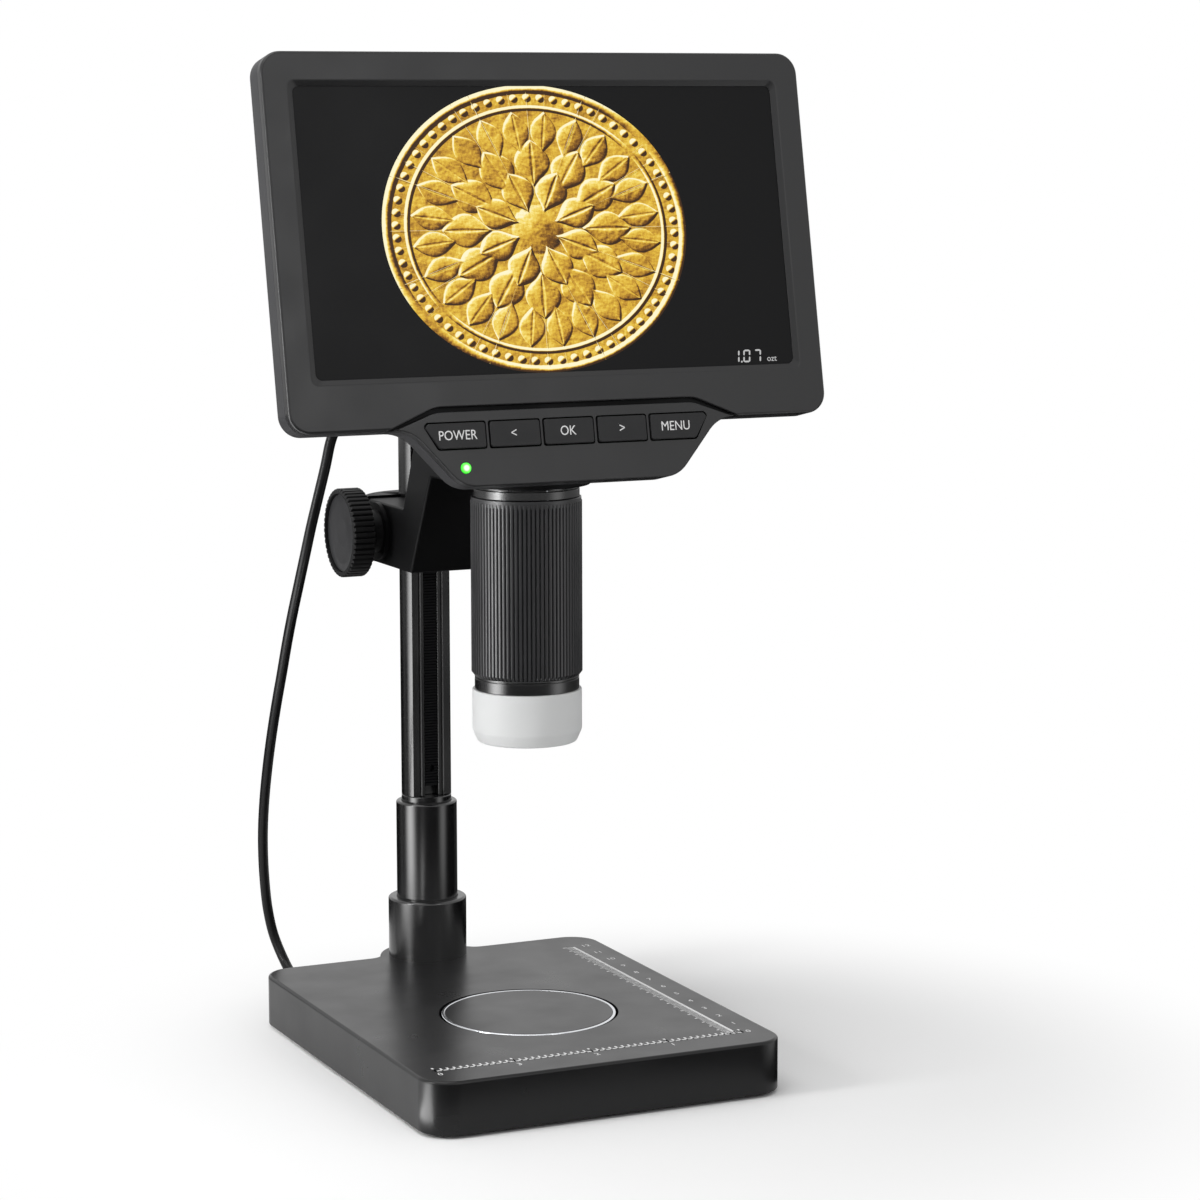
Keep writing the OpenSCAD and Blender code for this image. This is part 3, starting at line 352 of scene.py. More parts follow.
def addNode(tree, kind, settings=None, inputs=None):
    # Inputs are numbers, sockets or nodes, listed in order or by the socket's name
    node = tree.nodes.new("ShaderNode" + kind)
    for name, value in (settings or {}).items():
        setattr(node, name, value)
    pairs = inputs.items() if isinstance(inputs, dict) else enumerate(inputs or [])
    for key, value in pairs:
        source = value.outputs[0] if isinstance(value, bpy.types.Node) else value
        if isinstance(source, bpy.types.NodeSocket):
            tree.links.new(source, node.inputs[key])
        else:
            node.inputs[key].default_value = source
    return node


def newMaterial(name, colour, roughness, metallic=0.0, sockets=None):
    material = bpy.data.materials.new(name)
    material.use_nodes = True
    shader = material.node_tree.nodes["Principled BSDF"]
    values = {"Base Color": linearColour(colour), "Roughness": roughness, "Metallic": metallic}
    for key, value in {**values, **(sockets or {})}.items():
        shader.inputs[key].default_value = value
    return material, material.node_tree, shader


def addGrain(tree, shader, grain, height, rough, patch):
    # Fine bumps of a size in millimetres, and a roughness that drifts between two values over larger patches
    coords = addNode(tree, "TexCoord").outputs["Object"]
    fine = addNode(tree, "TexNoise", {}, {"Vector": coords, "Scale": 1 / (grain * mm), "Detail": 3.0})
    bump = addNode(tree, "Bump", {}, {
        "Height": fine.outputs["Fac"], "Distance": height * mm, "Strength": 1.0})
    cloudy = addNode(tree, "TexNoise", {}, {"Vector": coords, "Scale": 1 / (patch * mm), "Detail": 2.0})
    drift = addNode(tree, "MapRange", {}, {"Value": cloudy.outputs["Fac"], "From Min": 0.3, "From Max": 0.7,
                                           "To Min": rough[0], "To Max": rough[1]})
    tree.links.new(bump.outputs["Normal"], shader.inputs["Normal"])
    tree.links.new(drift.outputs["Result"], shader.inputs["Roughness"])


def finish(name):
    # A material of the table, made when it is first asked for
    if name in bpy.data.materials:
        return bpy.data.materials[name]
    colour, roughness, metallic, optics, grain, rough, patch = finishes[name]
    sockets = {key: value for key, value in zip(("IOR", "Specular IOR Level"), optics) if value is not None}
    sockets.update(furtherSockets.get(name, {}))
    material, tree, shader = newMaterial(name, colour, roughness, metallic, sockets)
    addGrain(tree, shader, *grain, rough, patch)
    return material


def fillRamp(node, stops):
    # Stops are (position, colour) from the lowest up
    elements = node.color_ramp.elements
    for index, (position, colour) in enumerate(stops):
        element = elements[index] if index < 2 else elements.new(position)
        element.position = position
        element.color = colour


def setSurface(tree, node, output="Material Output"):
    tree.links.new(node.outputs[0], tree.nodes[output].inputs["Surface"])


def solderMask(name, colour):
    # Circuit board under solder mask: the traces show as faint straight steps under the lacquer
    material, tree, shader = newMaterial(name, colour, 0.35, 0.0, {"IOR": 1.5})
    coords = addNode(tree, "TexCoord").outputs["Object"]
    traces = addNode(tree, "TexBrick", {"offset": 0.35}, {
        "Vector": coords, "Scale": 1 / (4 * mm), "Mortar Size": 0.06, "Color1": linearColour("#ffffff"),
        "Color2": linearColour("#b0b0b0"), "Mortar": linearColour("#000000")})
    bump = addNode(tree, "Bump", {}, {
        "Height": traces.outputs["Fac"], "Distance": 0.03 * mm, "Strength": 1.0})
    tree.links.new(bump.outputs["Normal"], shader.inputs["Normal"])
    return material


# Stage, light and camera
stage = {"floorSize": 8000, "floorColour": "#fafafa", "fadeMiddle": (30, -45, 0), "fadeFrom": 92,
         "fadeTo": 215, "around": 0.5}
# Each lamp has its place and target in metres, its size in metres and its power
lamps = {"leftStrip": ((-0.55, -0.06, 0.26), (-0.02, -0.02, 0.22), (0.1, 0.3), 1.7),
         "frontSoft": ((0.27, -1.15, 0.68), (0, -0.05, 0.26), (0.3, 0.3), 1.0),
         "above": ((-0.3, -0.1, 1.2), (0, 0, 0.1), (0.8, 0.8), 4.9)}
# Panels are (turn, strength). Turn 0 is behind, a quarter is the left side, a half is in front
card = {"radius": 2200, "inside": 155, "right": 64, "middleY": 30, "height": 0.8, "light": 8.0, "panels": (
    (0, 0), (0.08, 0), (0.12, 0.03), (0.17, 0), (0.245, 1), (0.32, 0), (0.56, 0), (0.625, 0.22), (0.69, 0),
    (0.8, 0), (0.84, 0.01), (0.9, 0), (1, 0))}
cornerPanel = {"place": (-100, -72, 0.9), "width": 60, "depth": 24, "light": 12.0}
camera = {"place": (-0.42209, -0.98581, 0.29931), "right": (0.90730, -0.42048, -0.00181),
          "up": (0.06141, 0.12825, 0.98984), "forward": (0.41597, 0.89819, -0.14218), "lens": 103.4,
          "sensor": 36}
white = (1, 1, 1, 1)


def lightPathSeen(tree):
    # 1 for what the camera sees straight, in gloss or through glass
    path = addNode(tree, "LightPath")
    gloss = addNode(tree, "Math", {"operation": "MAXIMUM"}, [
        path.outputs["Is Glossy Ray"], path.outputs["Is Transmission Ray"]])
    return addNode(tree, "Math", {"operation": "MAXIMUM"}, [path.outputs["Is Camera Ray"], gloss])


def makeFloor():
    deselectAll()
    bpy.ops.mesh.primitive_plane_add(size=stage["floorSize"] * mm)
    floor = bpy.context.object
    floor.name = "floor"
    material, tree, shader = newMaterial("paleFloor", stage["floorColour"], 0.85, 0.0, {
        "Specular IOR Level": 0.0})
    coords = addNode(tree, "TexCoord").outputs["Object"]
    away = addNode(tree, "VectorMath", {"operation": "DISTANCE"}, [coords, Vector(stage["fadeMiddle"]) * mm])
    fade = addNode(tree, "MapRange", {"interpolation_type": "SMOOTHSTEP"}, {
        "Value": away.outputs["Value"], "From Min": stage["fadeFrom"] * mm, "From Max": stage["fadeTo"] * mm})
    share = addNode(tree, "Math", {"operation": "MULTIPLY"}, [fade.outputs["Result"], lightPathSeen(tree)])
    glow = addNode(tree, "Emission", {}, {"Color": white, "Strength": 1.0})
    setSurface(tree, addNode(tree, "MixShader", {}, [share, shader, glow]))
    floor.data.materials.append(material)


def makeWorld():
    world = bpy.data.worlds.new("paleSurround")
    world.use_nodes = True
    tree = world.node_tree
    soft = tree.nodes["Background"]
    soft.inputs["Color"].default_value = white
    soft.inputs["Strength"].default_value = stage["around"]
    seen = addNode(tree, "Background", {}, {"Color": white, "Strength": 1.0})
    setSurface(tree, addNode(tree, "MixShader", {}, [lightPathSeen(tree), soft, seen]), "World Output")
    bpy.context.scene.world = world


def makeLights():
    for name, (place, target, size, power) in lamps.items():
        deselectAll()
        bpy.ops.object.light_add(type="AREA", location=place)
        lamp = bpy.context.object
        lamp.name = name
        lamp.data.shape = "RECTANGLE"
        lamp.data.size, lamp.data.size_y = size
        lamp.data.energy = power
        lamp.visible_camera = False
        lamp.rotation_euler = (Vector(target) - Vector(place)).to_track_quat("-Z", "Y").to_euler()


def onlyInGloss(piece, name, material, tree, strength):
    # Gives the piece a white glow that only glossy surfaces see
    piece.name = name
    setSurface(tree, addNode(tree, "Emission", {}, {"Color": white, "Strength": strength}))
    piece.data.materials.append(material)
    piece.visible_camera = piece.visible_diffuse = piece.visible_transmission = piece.visible_shadow = False


def makeCard():
    # Black card lying round the object with soft light panels on it. It draws the highlights down the round
    # parts and keeps the blacks deep between them
    deselectAll()
    bpy.ops.mesh.primitive_circle_add(vertices=64, radius=card["radius"] * mm, fill_type="NGON")
    piece = bpy.context.object
    startEdit(piece)
    selectAll()
    bpy.ops.mesh.inset(thickness=(card["radius"] - card["inside"]) * mm, depth=0)
    bpy.ops.mesh.delete(type="FACE")
    endEdit()
    for vertex in piece.data.vertices:
        if vertex.co.length < 1.01 * card["inside"] * mm:
            vertex.co.x = min(vertex.co.x, card["right"] * mm)
    settle(piece, at(0, card["middleY"], card["height"]))
    material, tree = newMaterial("blackCard", "#000000", 1.0)[:2]
    coords = addNode(tree, "TexCoord").outputs["Object"]
    away = addNode(tree, "VectorMath", {"operation": "SUBTRACT"}, [coords, (0, card["middleY"] * mm, 0)])
    axes = addNode(tree, "SeparateXYZ", {}, [away])
    across = addNode(tree, "Math", {"operation": "MULTIPLY"}, [axes.outputs["X"], -1.0])
    angle = addNode(tree, "Math", {"operation": "ARCTAN2"}, [across, axes.outputs["Y"]])
    turns = addNode(tree, "Math", {"operation": "MULTIPLY_ADD"}, [angle, 0.5 / math.pi, 1.0])
    panels = addNode(tree, "ValToRGB", {}, [addNode(tree, "Math", {"operation": "FRACT"}, [turns])])
    panels.color_ramp.interpolation = "EASE"
    fillRamp(panels, [(turn, (strength, strength, strength, 1)) for turn, strength in card["panels"]])
    apart = addNode(tree, "VectorMath", {"operation": "LENGTH"}, [away]).outputs["Value"]
    outside = addNode(tree, "Math", {"operation": "GREATER_THAN"}, [apart, card["inside"] * mm])
    level = addNode(tree, "Math", {"operation": "MULTIPLY"}, [outside, card["light"]])
    strength = addNode(tree, "Math", {"operation": "MULTIPLY"}, [panels.outputs["Color"], level])
    onlyInGloss(piece, "reflection_card", material, tree, strength)


def makeCornerPanel():
    deselectAll()
    bpy.ops.mesh.primitive_plane_add(size=1)
    size = Matrix.Diagonal((cornerPanel["width"] * mm, cornerPanel["depth"] * mm, 1, 1))
    piece = settle(bpy.context.object, at(*cornerPanel["place"]) @ size)
    material, tree = newMaterial("cornerPanel", "#000000", 1.0)[:2]
    onlyInGloss(piece, "corner_panel", material, tree, cornerPanel["light"])


def makeCamera():
    bpy.ops.object.camera_add(location=camera["place"])
    piece = bpy.context.object
    axes = Matrix((camera["right"], camera["up"], -Vector(camera["forward"])))
    piece.rotation_mode = "QUATERNION"
    piece.rotation_quaternion = axes.transposed().to_quaternion()
    piece.data.lens = camera["lens"]
    piece.data.sensor_width = camera["sensor"]
    bpy.context.scene.camera = piece
    bpy.context.scene.view_settings.view_transform = "Standard"


makeCamera()
makeWorld()
makeFloor()
makeLights()
makeCard()
makeCornerPanel()
print("stage, light and camera are set")

# Link lead and its glands. The lead's route is in metres
lead = {"radius": 1.65, "stepsPerStretch": 4, "blendFrom": 8, "route": [
    (-0.03, 0.00275, 0.2055), (-0.0345, 0.00275, 0.2055), (-0.039, 0.0027, 0.2063),
    (-0.0431, 0.0025, 0.2069), (-0.0472, 0.0023, 0.2063), (-0.0508, 0.0021, 0.2043),
    (-0.0536, 0.002, 0.2012), (-0.0554, 0.002, 0.1972), (-0.05711, 0.002, 0.19), (-0.05904, 0.0032, 0.181),
    (-0.06063, 0.0056, 0.1715), (-0.06143, 0.0094, 0.162), (-0.06184, 0.0145, 0.152),
    (-0.06188, 0.0205, 0.142), (-0.0615, 0.027, 0.132), (-0.06083, 0.034, 0.1215),
    (-0.06013, 0.0415, 0.1105), (-0.05902, 0.05, 0.0985), (-0.05761, 0.0585, 0.0865),
    (-0.05603, 0.0665, 0.0745), (-0.05415, 0.074, 0.062), (-0.05177, 0.0808, 0.0495),
    (-0.04922, 0.0862, 0.0375), (-0.04756, 0.0883, 0.03), (-0.04615, 0.0887, 0.024),
    (-0.04475, 0.0879, 0.0192), (-0.04352, 0.0856, 0.0149), (-0.0429, 0.0821, 0.012),
    (-0.04225, 0.0786, 0.01075), (-0.042, 0.07525, 0.0105)]}
gland = {"collar": 3.6, "collarLength": 2, "tip": 2.3, "length": 10, "grooves": 3, "grooveDepth": 0.75,
         "rootDepth": 1.5, "slack": 0.2, "bracketPlace": (-20, 2.75, 205.5), "basePlace": (-42, 65.25, 10.5)}


def smoothPath(route, steps):
    # A curve through all the points, with the direction at each set by its neighbours
    points = [Vector(p) for p in route]
    knots = [2 * points[0] - points[1], *points, 2 * points[-1] - points[-2]]
    path = []
    for a, b, c, d in zip(knots, knots[1:], knots[2:], knots[3:]):
        for k in range(steps):
            t = k / steps
            path.append(0.5 * (2 * b + (c - a) * t + (2 * a - 5 * b + 4 * c - d) * t * t
                               + (3 * b - 3 * c + d - a) * t * t * t))
    return path + [points[-1]]


def makeGland(name, place, turn, body, replaced):
    # Tapered relief with rings round it, so that it can flex
    g = gland
    profile = [(0, -g["rootDepth"], 0), (g["tip"], -g["rootDepth"], 0), (g["tip"], 0, 0),
               (g["collar"], 0, 0.3), (g["collar"], g["collarLength"], 0.5)]
    pitch = (g["length"] - g["collarLength"] - 1.0) / g["grooves"]
    for k in range(g["grooves"]):
        low = g["collarLength"] + 0.1 + k * pitch
        outer = g["collar"] - 0.3 - (g["collar"] - g["tip"] - 0.3) * k / g["grooves"]
        inner = outer - g["grooveDepth"]
        profile += [(inner, low, 0.1), (inner, low + 0.7, 0.1), (outer, low + 0.8, 0.25),
                    (outer - 0.15, low + pitch - 0.1, 0.25)]
    profile += [(g["tip"], g["length"], 0.35), (0, g["length"], 0)]
    return dressedSpin(name, profile, at(*place) @ turn, 48, "mouldedRubber", body, "rubber", replaced)


def makeLead():
    path = smoothPath(lead["route"], lead["stepsPerStretch"])
    curve = bpy.data.curves.new("lead", "CURVE")
    curve.dimensions = "3D"
    curve.bevel_depth = lead["radius"] * mm
    curve.bevel_resolution = 5
    curve.use_fill_caps = True
    spline = curve.splines.new("POLY")
    spline.points.add(len(path) - 1)
    for point, place in zip(spline.points, path):
        point.co = (*place, 1)
    piece = bpy.data.objects.new("link_lead", curve)
    bpy.context.collection.objects.link(piece)
    makeActive(piece)
    bpy.ops.object.convert(target="MESH")
    piece = bpy.context.object
    makeActive(piece)
    bpy.ops.object.shade_smooth_by_angle(angle=math.radians(50))
    piece.data.materials.clear()
    piece.data.materials.append(finish("pvcCableJacket"))
    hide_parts("lead")
    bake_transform(piece)


bracketGland = makeGland("bracket_strain_relief", gland["bracketPlace"], toLeft, "carriage", "bracket_gland")
baseGland = makeGland("base_strain_relief", gland["basePlace"], toBack, "base", "base_gland")
makeLead()
print("link lead is in place")

# Base and weighing pan
base = {"corner": 10, "bulge": 16, "bulgeFillet": 5, "lowZ": 1, "wall": 2.4, "topPlate": 2.6,
        "topRound": 1.0, "footRound": 0.5, "panHole": 28.2, "boss": 4, "bossIn": 13, "bore": 8.3,
        "boreFrom": 6, "coverSeat": 1.6}
pan = {"radius": 26.35, "thickness": 1.2, "discRound": 0.25, "ringOut": 27.4, "ringIn": 26.4,
       "ringRound": 0.3}


def baseOutline():
    # Rounded rectangle with a round bulge at the back, joined to it by fillets
    half, front, back, fillet = stand["halfWidth"], stand["frontY"], stand["backY"], base["bulgeFillet"]
    drop = back + fillet - stand["columnY"]
    filletX = math.sqrt((base["bulge"] + fillet) ** 2 - drop ** 2)
    tilt = math.atan2(drop, filletX)
    right = math.pi / 2
    points = roundedOutline([(x, y, base["corner"])
                             for x, y in ((-half, back), (-half, front), (half, front), (half, back))], 6)
    points += arc((filletX, back + fillet), fillet, -right, -(right - tilt), 8)
    points += arc((0, stand["columnY"]), base["bulge"], tilt, math.pi - 2 * tilt, 32)[1:-1]
    points += arc((-filletX, back + fillet), fillet, -tilt, -(right - tilt), 8)
    return points


def makeBase():
    b, low, top = base, base["lowZ"], stand["topZ"]
    piece = outlinePlate("base_body", baseOutline(), top - low, at(0, 0, low))
    roundLevels(piece, (top, b["topRound"], 4), (low, b["footRound"], 2))
    middleY = (stand["frontY"] + stand["backY"]) / 2
    depth, wide = stand["backY"] - stand["frontY"], 2 * stand["halfWidth"]
    room = roundedBox(wide - 2 * b["wall"], depth - 2 * b["wall"], b["corner"] - b["wall"], 0, middleY)
    hollow = outlinePlate("hollow", room, top - b["topPlate"] - low + 1, at(0, 0, low - 1))
    postX, postY = wide / 2 - b["bossIn"], depth / 2 - b["bossIn"]
    posts = [rod(b["boss"], low + b["coverSeat"], top, at(sx * postX, middleY + sy * postY), 32)
             for sx in (-1, 1) for sy in (-1, 1)]
    cut(hollow, rod(b["bulge"], low - 2, top, onColumn, 96), *posts)
    cut(piece, hollow, outlinePlate("seat", room, 1 + b["coverSeat"], at(0, 0, low - 1)),
        rod(b["panHole"], low, top + 1, onOptic, 128), rod(b["bore"], b["boreFrom"], top + 1, onColumn, 96),
        rod(gland["tip"] + gland["slack"], -3, 1, at(*gland["basePlace"]) @ toBack, 32))
    dress(smoothShade(piece), "satinPowderCoat", "base", "base_coat", "base_housing")


def makePan():
    p, top = pan, stand["topZ"]
    low = top - p["thickness"]
    disc = [(0, low, 0), (p["radius"], low, 0), (p["radius"], top, p["discRound"]), (0, top, 0)]
    rim = [(p["ringIn"], low, 0), (p["ringOut"], low, 0), (p["ringOut"], top, p["ringRound"]),
           (p["ringIn"], top, p["ringRound"])]
    dressedSpin("pan_plate", disc, onOptic, 128, "satinPaintedSteel", "pan", "pan_metal", "pan_disc")
    dressedSpin("pan_rim", rim, onOptic, 128, "polishedStainless", "pan", "bright_ring", "pan_ring")


makeBase()
makePan()
print("base and pan are made")

# Printed rulers
ruler = {"inkHeight": 0.03, "inchX": -51.8, "inchY": -70.9, "inches": 4, "inchLine": 0.65, "inchDigits": 3.2,
         "cmX": 47.0, "cmY": -70.1, "centimetres": 12, "cmLine": 0.9, "cmTick": 0.32, "cmDigits": 5,
         "longTick": 3.8, "halfTick": 3.4, "shortTick": 2.5, "digits": 2.4}
inch = 25.4


def inkBox(left, low, right, high):
    corners = [(left, low), (right, low), (right, high), (left, high)]
    return outlinePlate("line", corners, ruler["inkHeight"], at(0, 0, stand["topZ"]))


def tickRow(count, shift, line, length, x, y, along):
    # One tick, repeated by an array. Ticks along x stand up from y, and those along y lie to the left of x
    tick = (inkBox(x - line / 2, y, x + line / 2, y + length) if along == "X"
            else inkBox(x - length, y - line / 2, x, y + line / 2))
    return modify(tick, "ARRAY", {
        "count": count, "use_relative_offset": False, "use_constant_offset": True,
        "constant_offset_displace": (shift * mm, 0, 0) if along == "X" else (0, shift * mm, 0)})


def inkText(name, body, height, place, thickness=0.03, squeeze=1.0):
    # The built-in face has capitals 0.73 of its size high
    deselectAll()
    bpy.ops.object.text_add()
    words = bpy.context.object
    words.data.body = body
    words.data.size = height * mm / 0.73
    words.data.align_x = "CENTER"
    words.data.align_y = "CENTER"
    words.data.extrude = thickness * mm / 2
    words.data.resolution_u = 4
    bpy.ops.object.convert(target="MESH")
    words = bpy.context.object
    words.name = words.data.name = name
    return settle(words, place @ Matrix.Diagonal((squeeze, 1, 1, 1)))


def makeRulers():
    r = ruler
    x, y, line = r["inchX"], r["inchY"], r["inchLine"]
    bars = [inkBox(x, y, x + inch * r["inches"], y + line),
            tickRow(r["inches"] * 12 + 1, inch / 12, line, r["shortTick"], x, y, "X"),
            tickRow(r["inches"] + 1, inch, line, r["longTick"], x, y, "X")]
    level = stand["topZ"] + r["inkHeight"] / 2
    for k in range(r["inches"]):
        figure = str((r["inches"] - k) % r["inches"])
        bars.append(inkText("digit", figure, r["digits"], at(x + inch * k, y - r["inchDigits"], level)))
    x, y, line = r["cmX"], r["cmY"], r["cmTick"]
    bars += [inkBox(x, y, x + r["cmLine"], y + 10 * r["centimetres"]),
             tickRow(r["centimetres"] * 10 + 1, 1, line, r["shortTick"], x, y, "Y"),
             tickRow(r["centimetres"] * 2 + 1, 5, 2 * line, r["halfTick"], x, y, "Y")]
    for k in range(r["centimetres"] + 1):
        bars.append(inkText("digit", str(k), r["digits"], at(x + r["cmDigits"], y + 10 * k, level)))
    dress(joinAll("printed_rulers", bars), "whitePrintInk", "base", "board_white")


makeRulers()
print("rulers are printed")

# Column, sleeve, collar and cap
column = {"radius": 8.25, "lowZ": 6, "flatFrom": 72, "topZ": 215, "flat": 5, "slot": 2.35, "slotDepth": 3,
          "line": 3.9, "lineWidth": 0.45, "lineDepth": 0.3, "capHole": 1.9, "capHoleDepth": 6}
sleeve = {"radius": 10.1, "topZ": 70, "bore": 8.3, "round": 0.7}
collar = {"radius": 13, "topZ": 37.4, "bore": 10.15, "round": 0.9}
columnCap = {"radius": 8.05, "height": 2, "round": 0.7, "stem": 1.8, "stemLength": 5}


def columnOutline():
    # Round behind, flat in front, with the rack's slot and a fine groove at each side of it
    front, line, width = -column["flat"], column["line"], column["lineWidth"] / 2
    start = math.atan2(front, math.sqrt(column["radius"] ** 2 - front ** 2))
    half = [(-line - width, front), (-line - width, front + column["lineDepth"]),
            (-line + width, front + column["lineDepth"]), (-line + width, front), (-column["slot"], front),
            (-column["slot"], front + column["slotDepth"])]
    return (arc((0, 0), column["radius"], start, math.pi - 2 * start, 72)
            + [Vector(p) for p in half] + [Vector((-x, y)) for x, y in reversed(half)])


def makeColumn():
    c, low = column, stand["topZ"]
    post = outlinePlate("column_post", columnOutline(), c["topZ"] - c["flatFrom"],
                        at(0, stand["columnY"], c["flatFrom"]))
    weld(post, rod(c["radius"], c["lowZ"], c["flatFrom"], onColumn, 144))
    cut(post, rod(c["capHole"], c["topZ"] - c["capHoleDepth"], c["topZ"] + 1, onColumn, 32))
    soften(post, 0.2, 60, 1)
    dress(smoothShade(post, 25), "blackTubeEnamel", "base", "column_coat", "column")
    for name, tube, slot, node in (("column_sleeve", sleeve, "column_coat", "sleeve"),
                                   ("column_collar", collar, "base_coat", "collar")):
        dressedSpin(name, [(tube["bore"], low, 0), (tube["radius"], low, 0),
                           (tube["radius"], tube["topZ"], tube["round"]), (tube["bore"], tube["topZ"], 0.3)],
                    onColumn, 128, "blackTubeEnamel", "base", slot, node)
    cap, foot = columnCap, c["topZ"]
    top, stemLow = foot + cap["height"], foot - cap["stemLength"]
    dressedSpin("column_end_cap", [
        (0, stemLow, 0), (cap["stem"], stemLow, 0.3), (cap["stem"], foot, 0), (cap["radius"], foot, 0.1),
        (cap["radius"], top, cap["round"]), (0, top, 0)],
        onColumn, 96, "mattBlackNylon", "base", "black_plastic", "column_cap")


makeColumn()
print("column is made")

# Bracket
bracket = {"halfWidth": 20, "blockLow": 151.8, "blockTop": 172, "noseLow": 184.2, "noseTop": 202,
           "heelTop": 210, "armFront": 25.95, "armUnder": 8.75, "heelFront": -6.25, "armBack": 14.65,
           "armNotch": 32.05, "boss": 9.3, "bossOut": 21.2, "edgeRound": 0.8, "pivotZ": 213, "knuckle": 7,
           "knuckleHalf": 9}
# Holes along x are (radius, half length), and the brake's is (radius, from, height over the block's foot)
bracketHoles = {"column": 8.3, "bush": 4.52, "bushFrom": 8, "gear": (7.2, 2.6), "shaft": (3.2, 9),
                "pin": (3.05, 12), "barrel": 13.5, "barrelDepth": 13.8, "brake": (3.0, 7, 10.1)}


def makeBracket():
    b, holes, columnY, opticY = bracket, bracketHoles, stand["columnY"], stand["opticY"]
    half = b["halfWidth"]
    profile = roundedOutline([
        (columnY, b["blockLow"], 0), (b["armFront"], b["blockLow"], 1.2), (b["armUnder"], b["noseLow"], 2.0),
        (opticY, b["noseLow"], 0), (opticY, b["noseTop"], 0), (b["heelFront"], b["noseTop"], 0.8),
        (b["heelFront"], b["heelTop"], 1.2), (b["armBack"], b["heelTop"], 2.5),
        (b["armNotch"], b["blockTop"], 1.2), (columnY, b["blockTop"], 0)], 15)
    piece = outlinePlate("stand_bracket", profile, 2 * half, at(-half) @ sideways)
    onPivot = at(0, opticY, b["pivotZ"]) @ toRight
    weld(piece, rod(half, b["blockLow"], b["blockTop"], onColumn, 96),
         rod(half, b["noseLow"], b["noseTop"], onOptic, 96),
         outlinePlate("knuckleFoot", roundedBox(2 * b["knuckleHalf"], 2 * b["knuckle"], 0.5, 0, opticY), 12,
                      at(0, 0, b["noseTop"] - 1)),
         rod(b["knuckle"], -b["knuckleHalf"], b["knuckleHalf"], onPivot))
    soften(piece, b["edgeRound"], 40, 3)
    weld(piece, rod(b["boss"], -b["bossOut"], b["bossOut"], onPinion @ toRight, 96))
    brakeRadius, brakeFrom, brakeUp = holes["brake"]
    across = ((holes["gear"], onPinion @ toRight), (holes["shaft"], onPinion @ toRight),
              (holes["pin"], onPivot))
    cut(piece, rod(holes["column"], b["blockLow"] - 1, b["blockTop"] + 1, onColumn, 96),
        *[rod(holes["bush"], holes["bushFrom"], b["bossOut"] + 1, onPinion @ turn)
          for turn in (toRight, toLeft)],
        *[rod(radius, -reach, reach, place) for (radius, reach), place in across],
        rod(holes["barrel"], b["noseLow"] - 1, b["noseLow"] + holes["barrelDepth"], onOptic),
        rod(brakeRadius, brakeFrom, half + 1, at(0, columnY, b["blockLow"] + brakeUp) @ toBack, 32),
        rod(gland["tip"] + gland["slack"], -7, 1, at(*gland["bracketPlace"]) @ toLeft, 32))
    dress(smoothShade(piece, 35), "blackAnodisedAluminium", "carriage", "bracket_coat", "bracket")


makeBracket()
print("bracket is made")

# Knobs
knob = {"radius": 14.4, "teeth": 48, "toothDepth": 0.6, "thickness": 7.5, "back": 26.5, "rimRound": 1.1,
        "dish": 12.7, "dishDepth": 1.45, "hub": 7, "hubLength": 5.6, "bore": 3.01, "boreEnd": 2.5,
        "capThickness": 0.5, "capSlack": 0.15}


def toothedOutline(radius, teeth, depth):
    # Each tooth has a flat top and a rounded valley
    shape = ((0.0, 0.55), (0.1, 0.08), (0.24, 0.0), (0.5, 0.0), (0.64, 0.08), (0.74, 0.55), (0.87, 1.0))
    return [Vector((math.cos(a), math.sin(a))) * (radius - share * depth)
            for k in range(teeth) for part, share in shape for a in [(k + part) * 2 * math.pi / teeth]]


def makeKnob(name, turn, node):
    # Back at z = 0 and face at z = thickness, then laid on its side
    k = knob
    piece = outlinePlate(name, toothedOutline(k["radius"], k["teeth"], k["toothDepth"]),
                         k["thickness"] - k["rimRound"], at(0, 0, k["rimRound"] / 2))
    startEdit(piece)
    for level, side in ((k["thickness"] - k["rimRound"] / 2, 1), (k["rimRound"] / 2, -1)):
        pick("FACE", lambda face: (abs(face.calc_center_median().z - level * mm) < 1e-6
                                   and abs(face.normal.z) > 0.9))
        for share in (0.7, 0.3):
            pull(side * k["rimRound"] * share / 2)
            scale = 1 - k["rimRound"] * (1 - share) / k["radius"] * 0.9
            scalePicked(scale, scale)
    endEdit()
    cut(piece, rod(k["dish"], k["thickness"] - k["dishDepth"], k["thickness"] + 1, Matrix(), 96))
    weld(piece, rod(k["hub"], -k["hubLength"], 0.5))
    cut(piece, rod(k["bore"], -k["hubLength"] - 1, k["thickness"] - k["boreEnd"], Matrix(), 48))
    smoothShade(piece, 30)
    settle(piece, onPinion @ turn @ at(0, 0, k["back"]))
    dress(piece, "mattBlackNylon", "pinion", "black_plastic", node)


def makeKnobCaps():
    # Shallow dished discs in the knobs' faces
    low = knob["back"] + knob["thickness"] - knob["dishDepth"]
    outer, top = knob["dish"] - knob["capSlack"], low + knob["capThickness"]
    profile = [(0, low, 0), (outer, low, 0), (outer, top, 0.15), (outer * 0.8, top - 0.15, 2.0),
               (outer * 0.35, top - 0.32, 3.0), (0, low + 0.15, 0)]
    caps = [spunPiece("cap", profile, onPinion @ turn, 96) for turn in (toLeft, toRight)]
    piece = smoothShade(joinAll("knob_face_discs", caps))
    dress(piece, "turnedBlackAluminium", "pinion", "bracket_coat", "knob_caps")


makeKnob("knob_left_wheel", toLeft, "knob_left")
makeKnob("knob_right_wheel", toRight, "knob_right")
makeKnobCaps()
print("knobs are made")

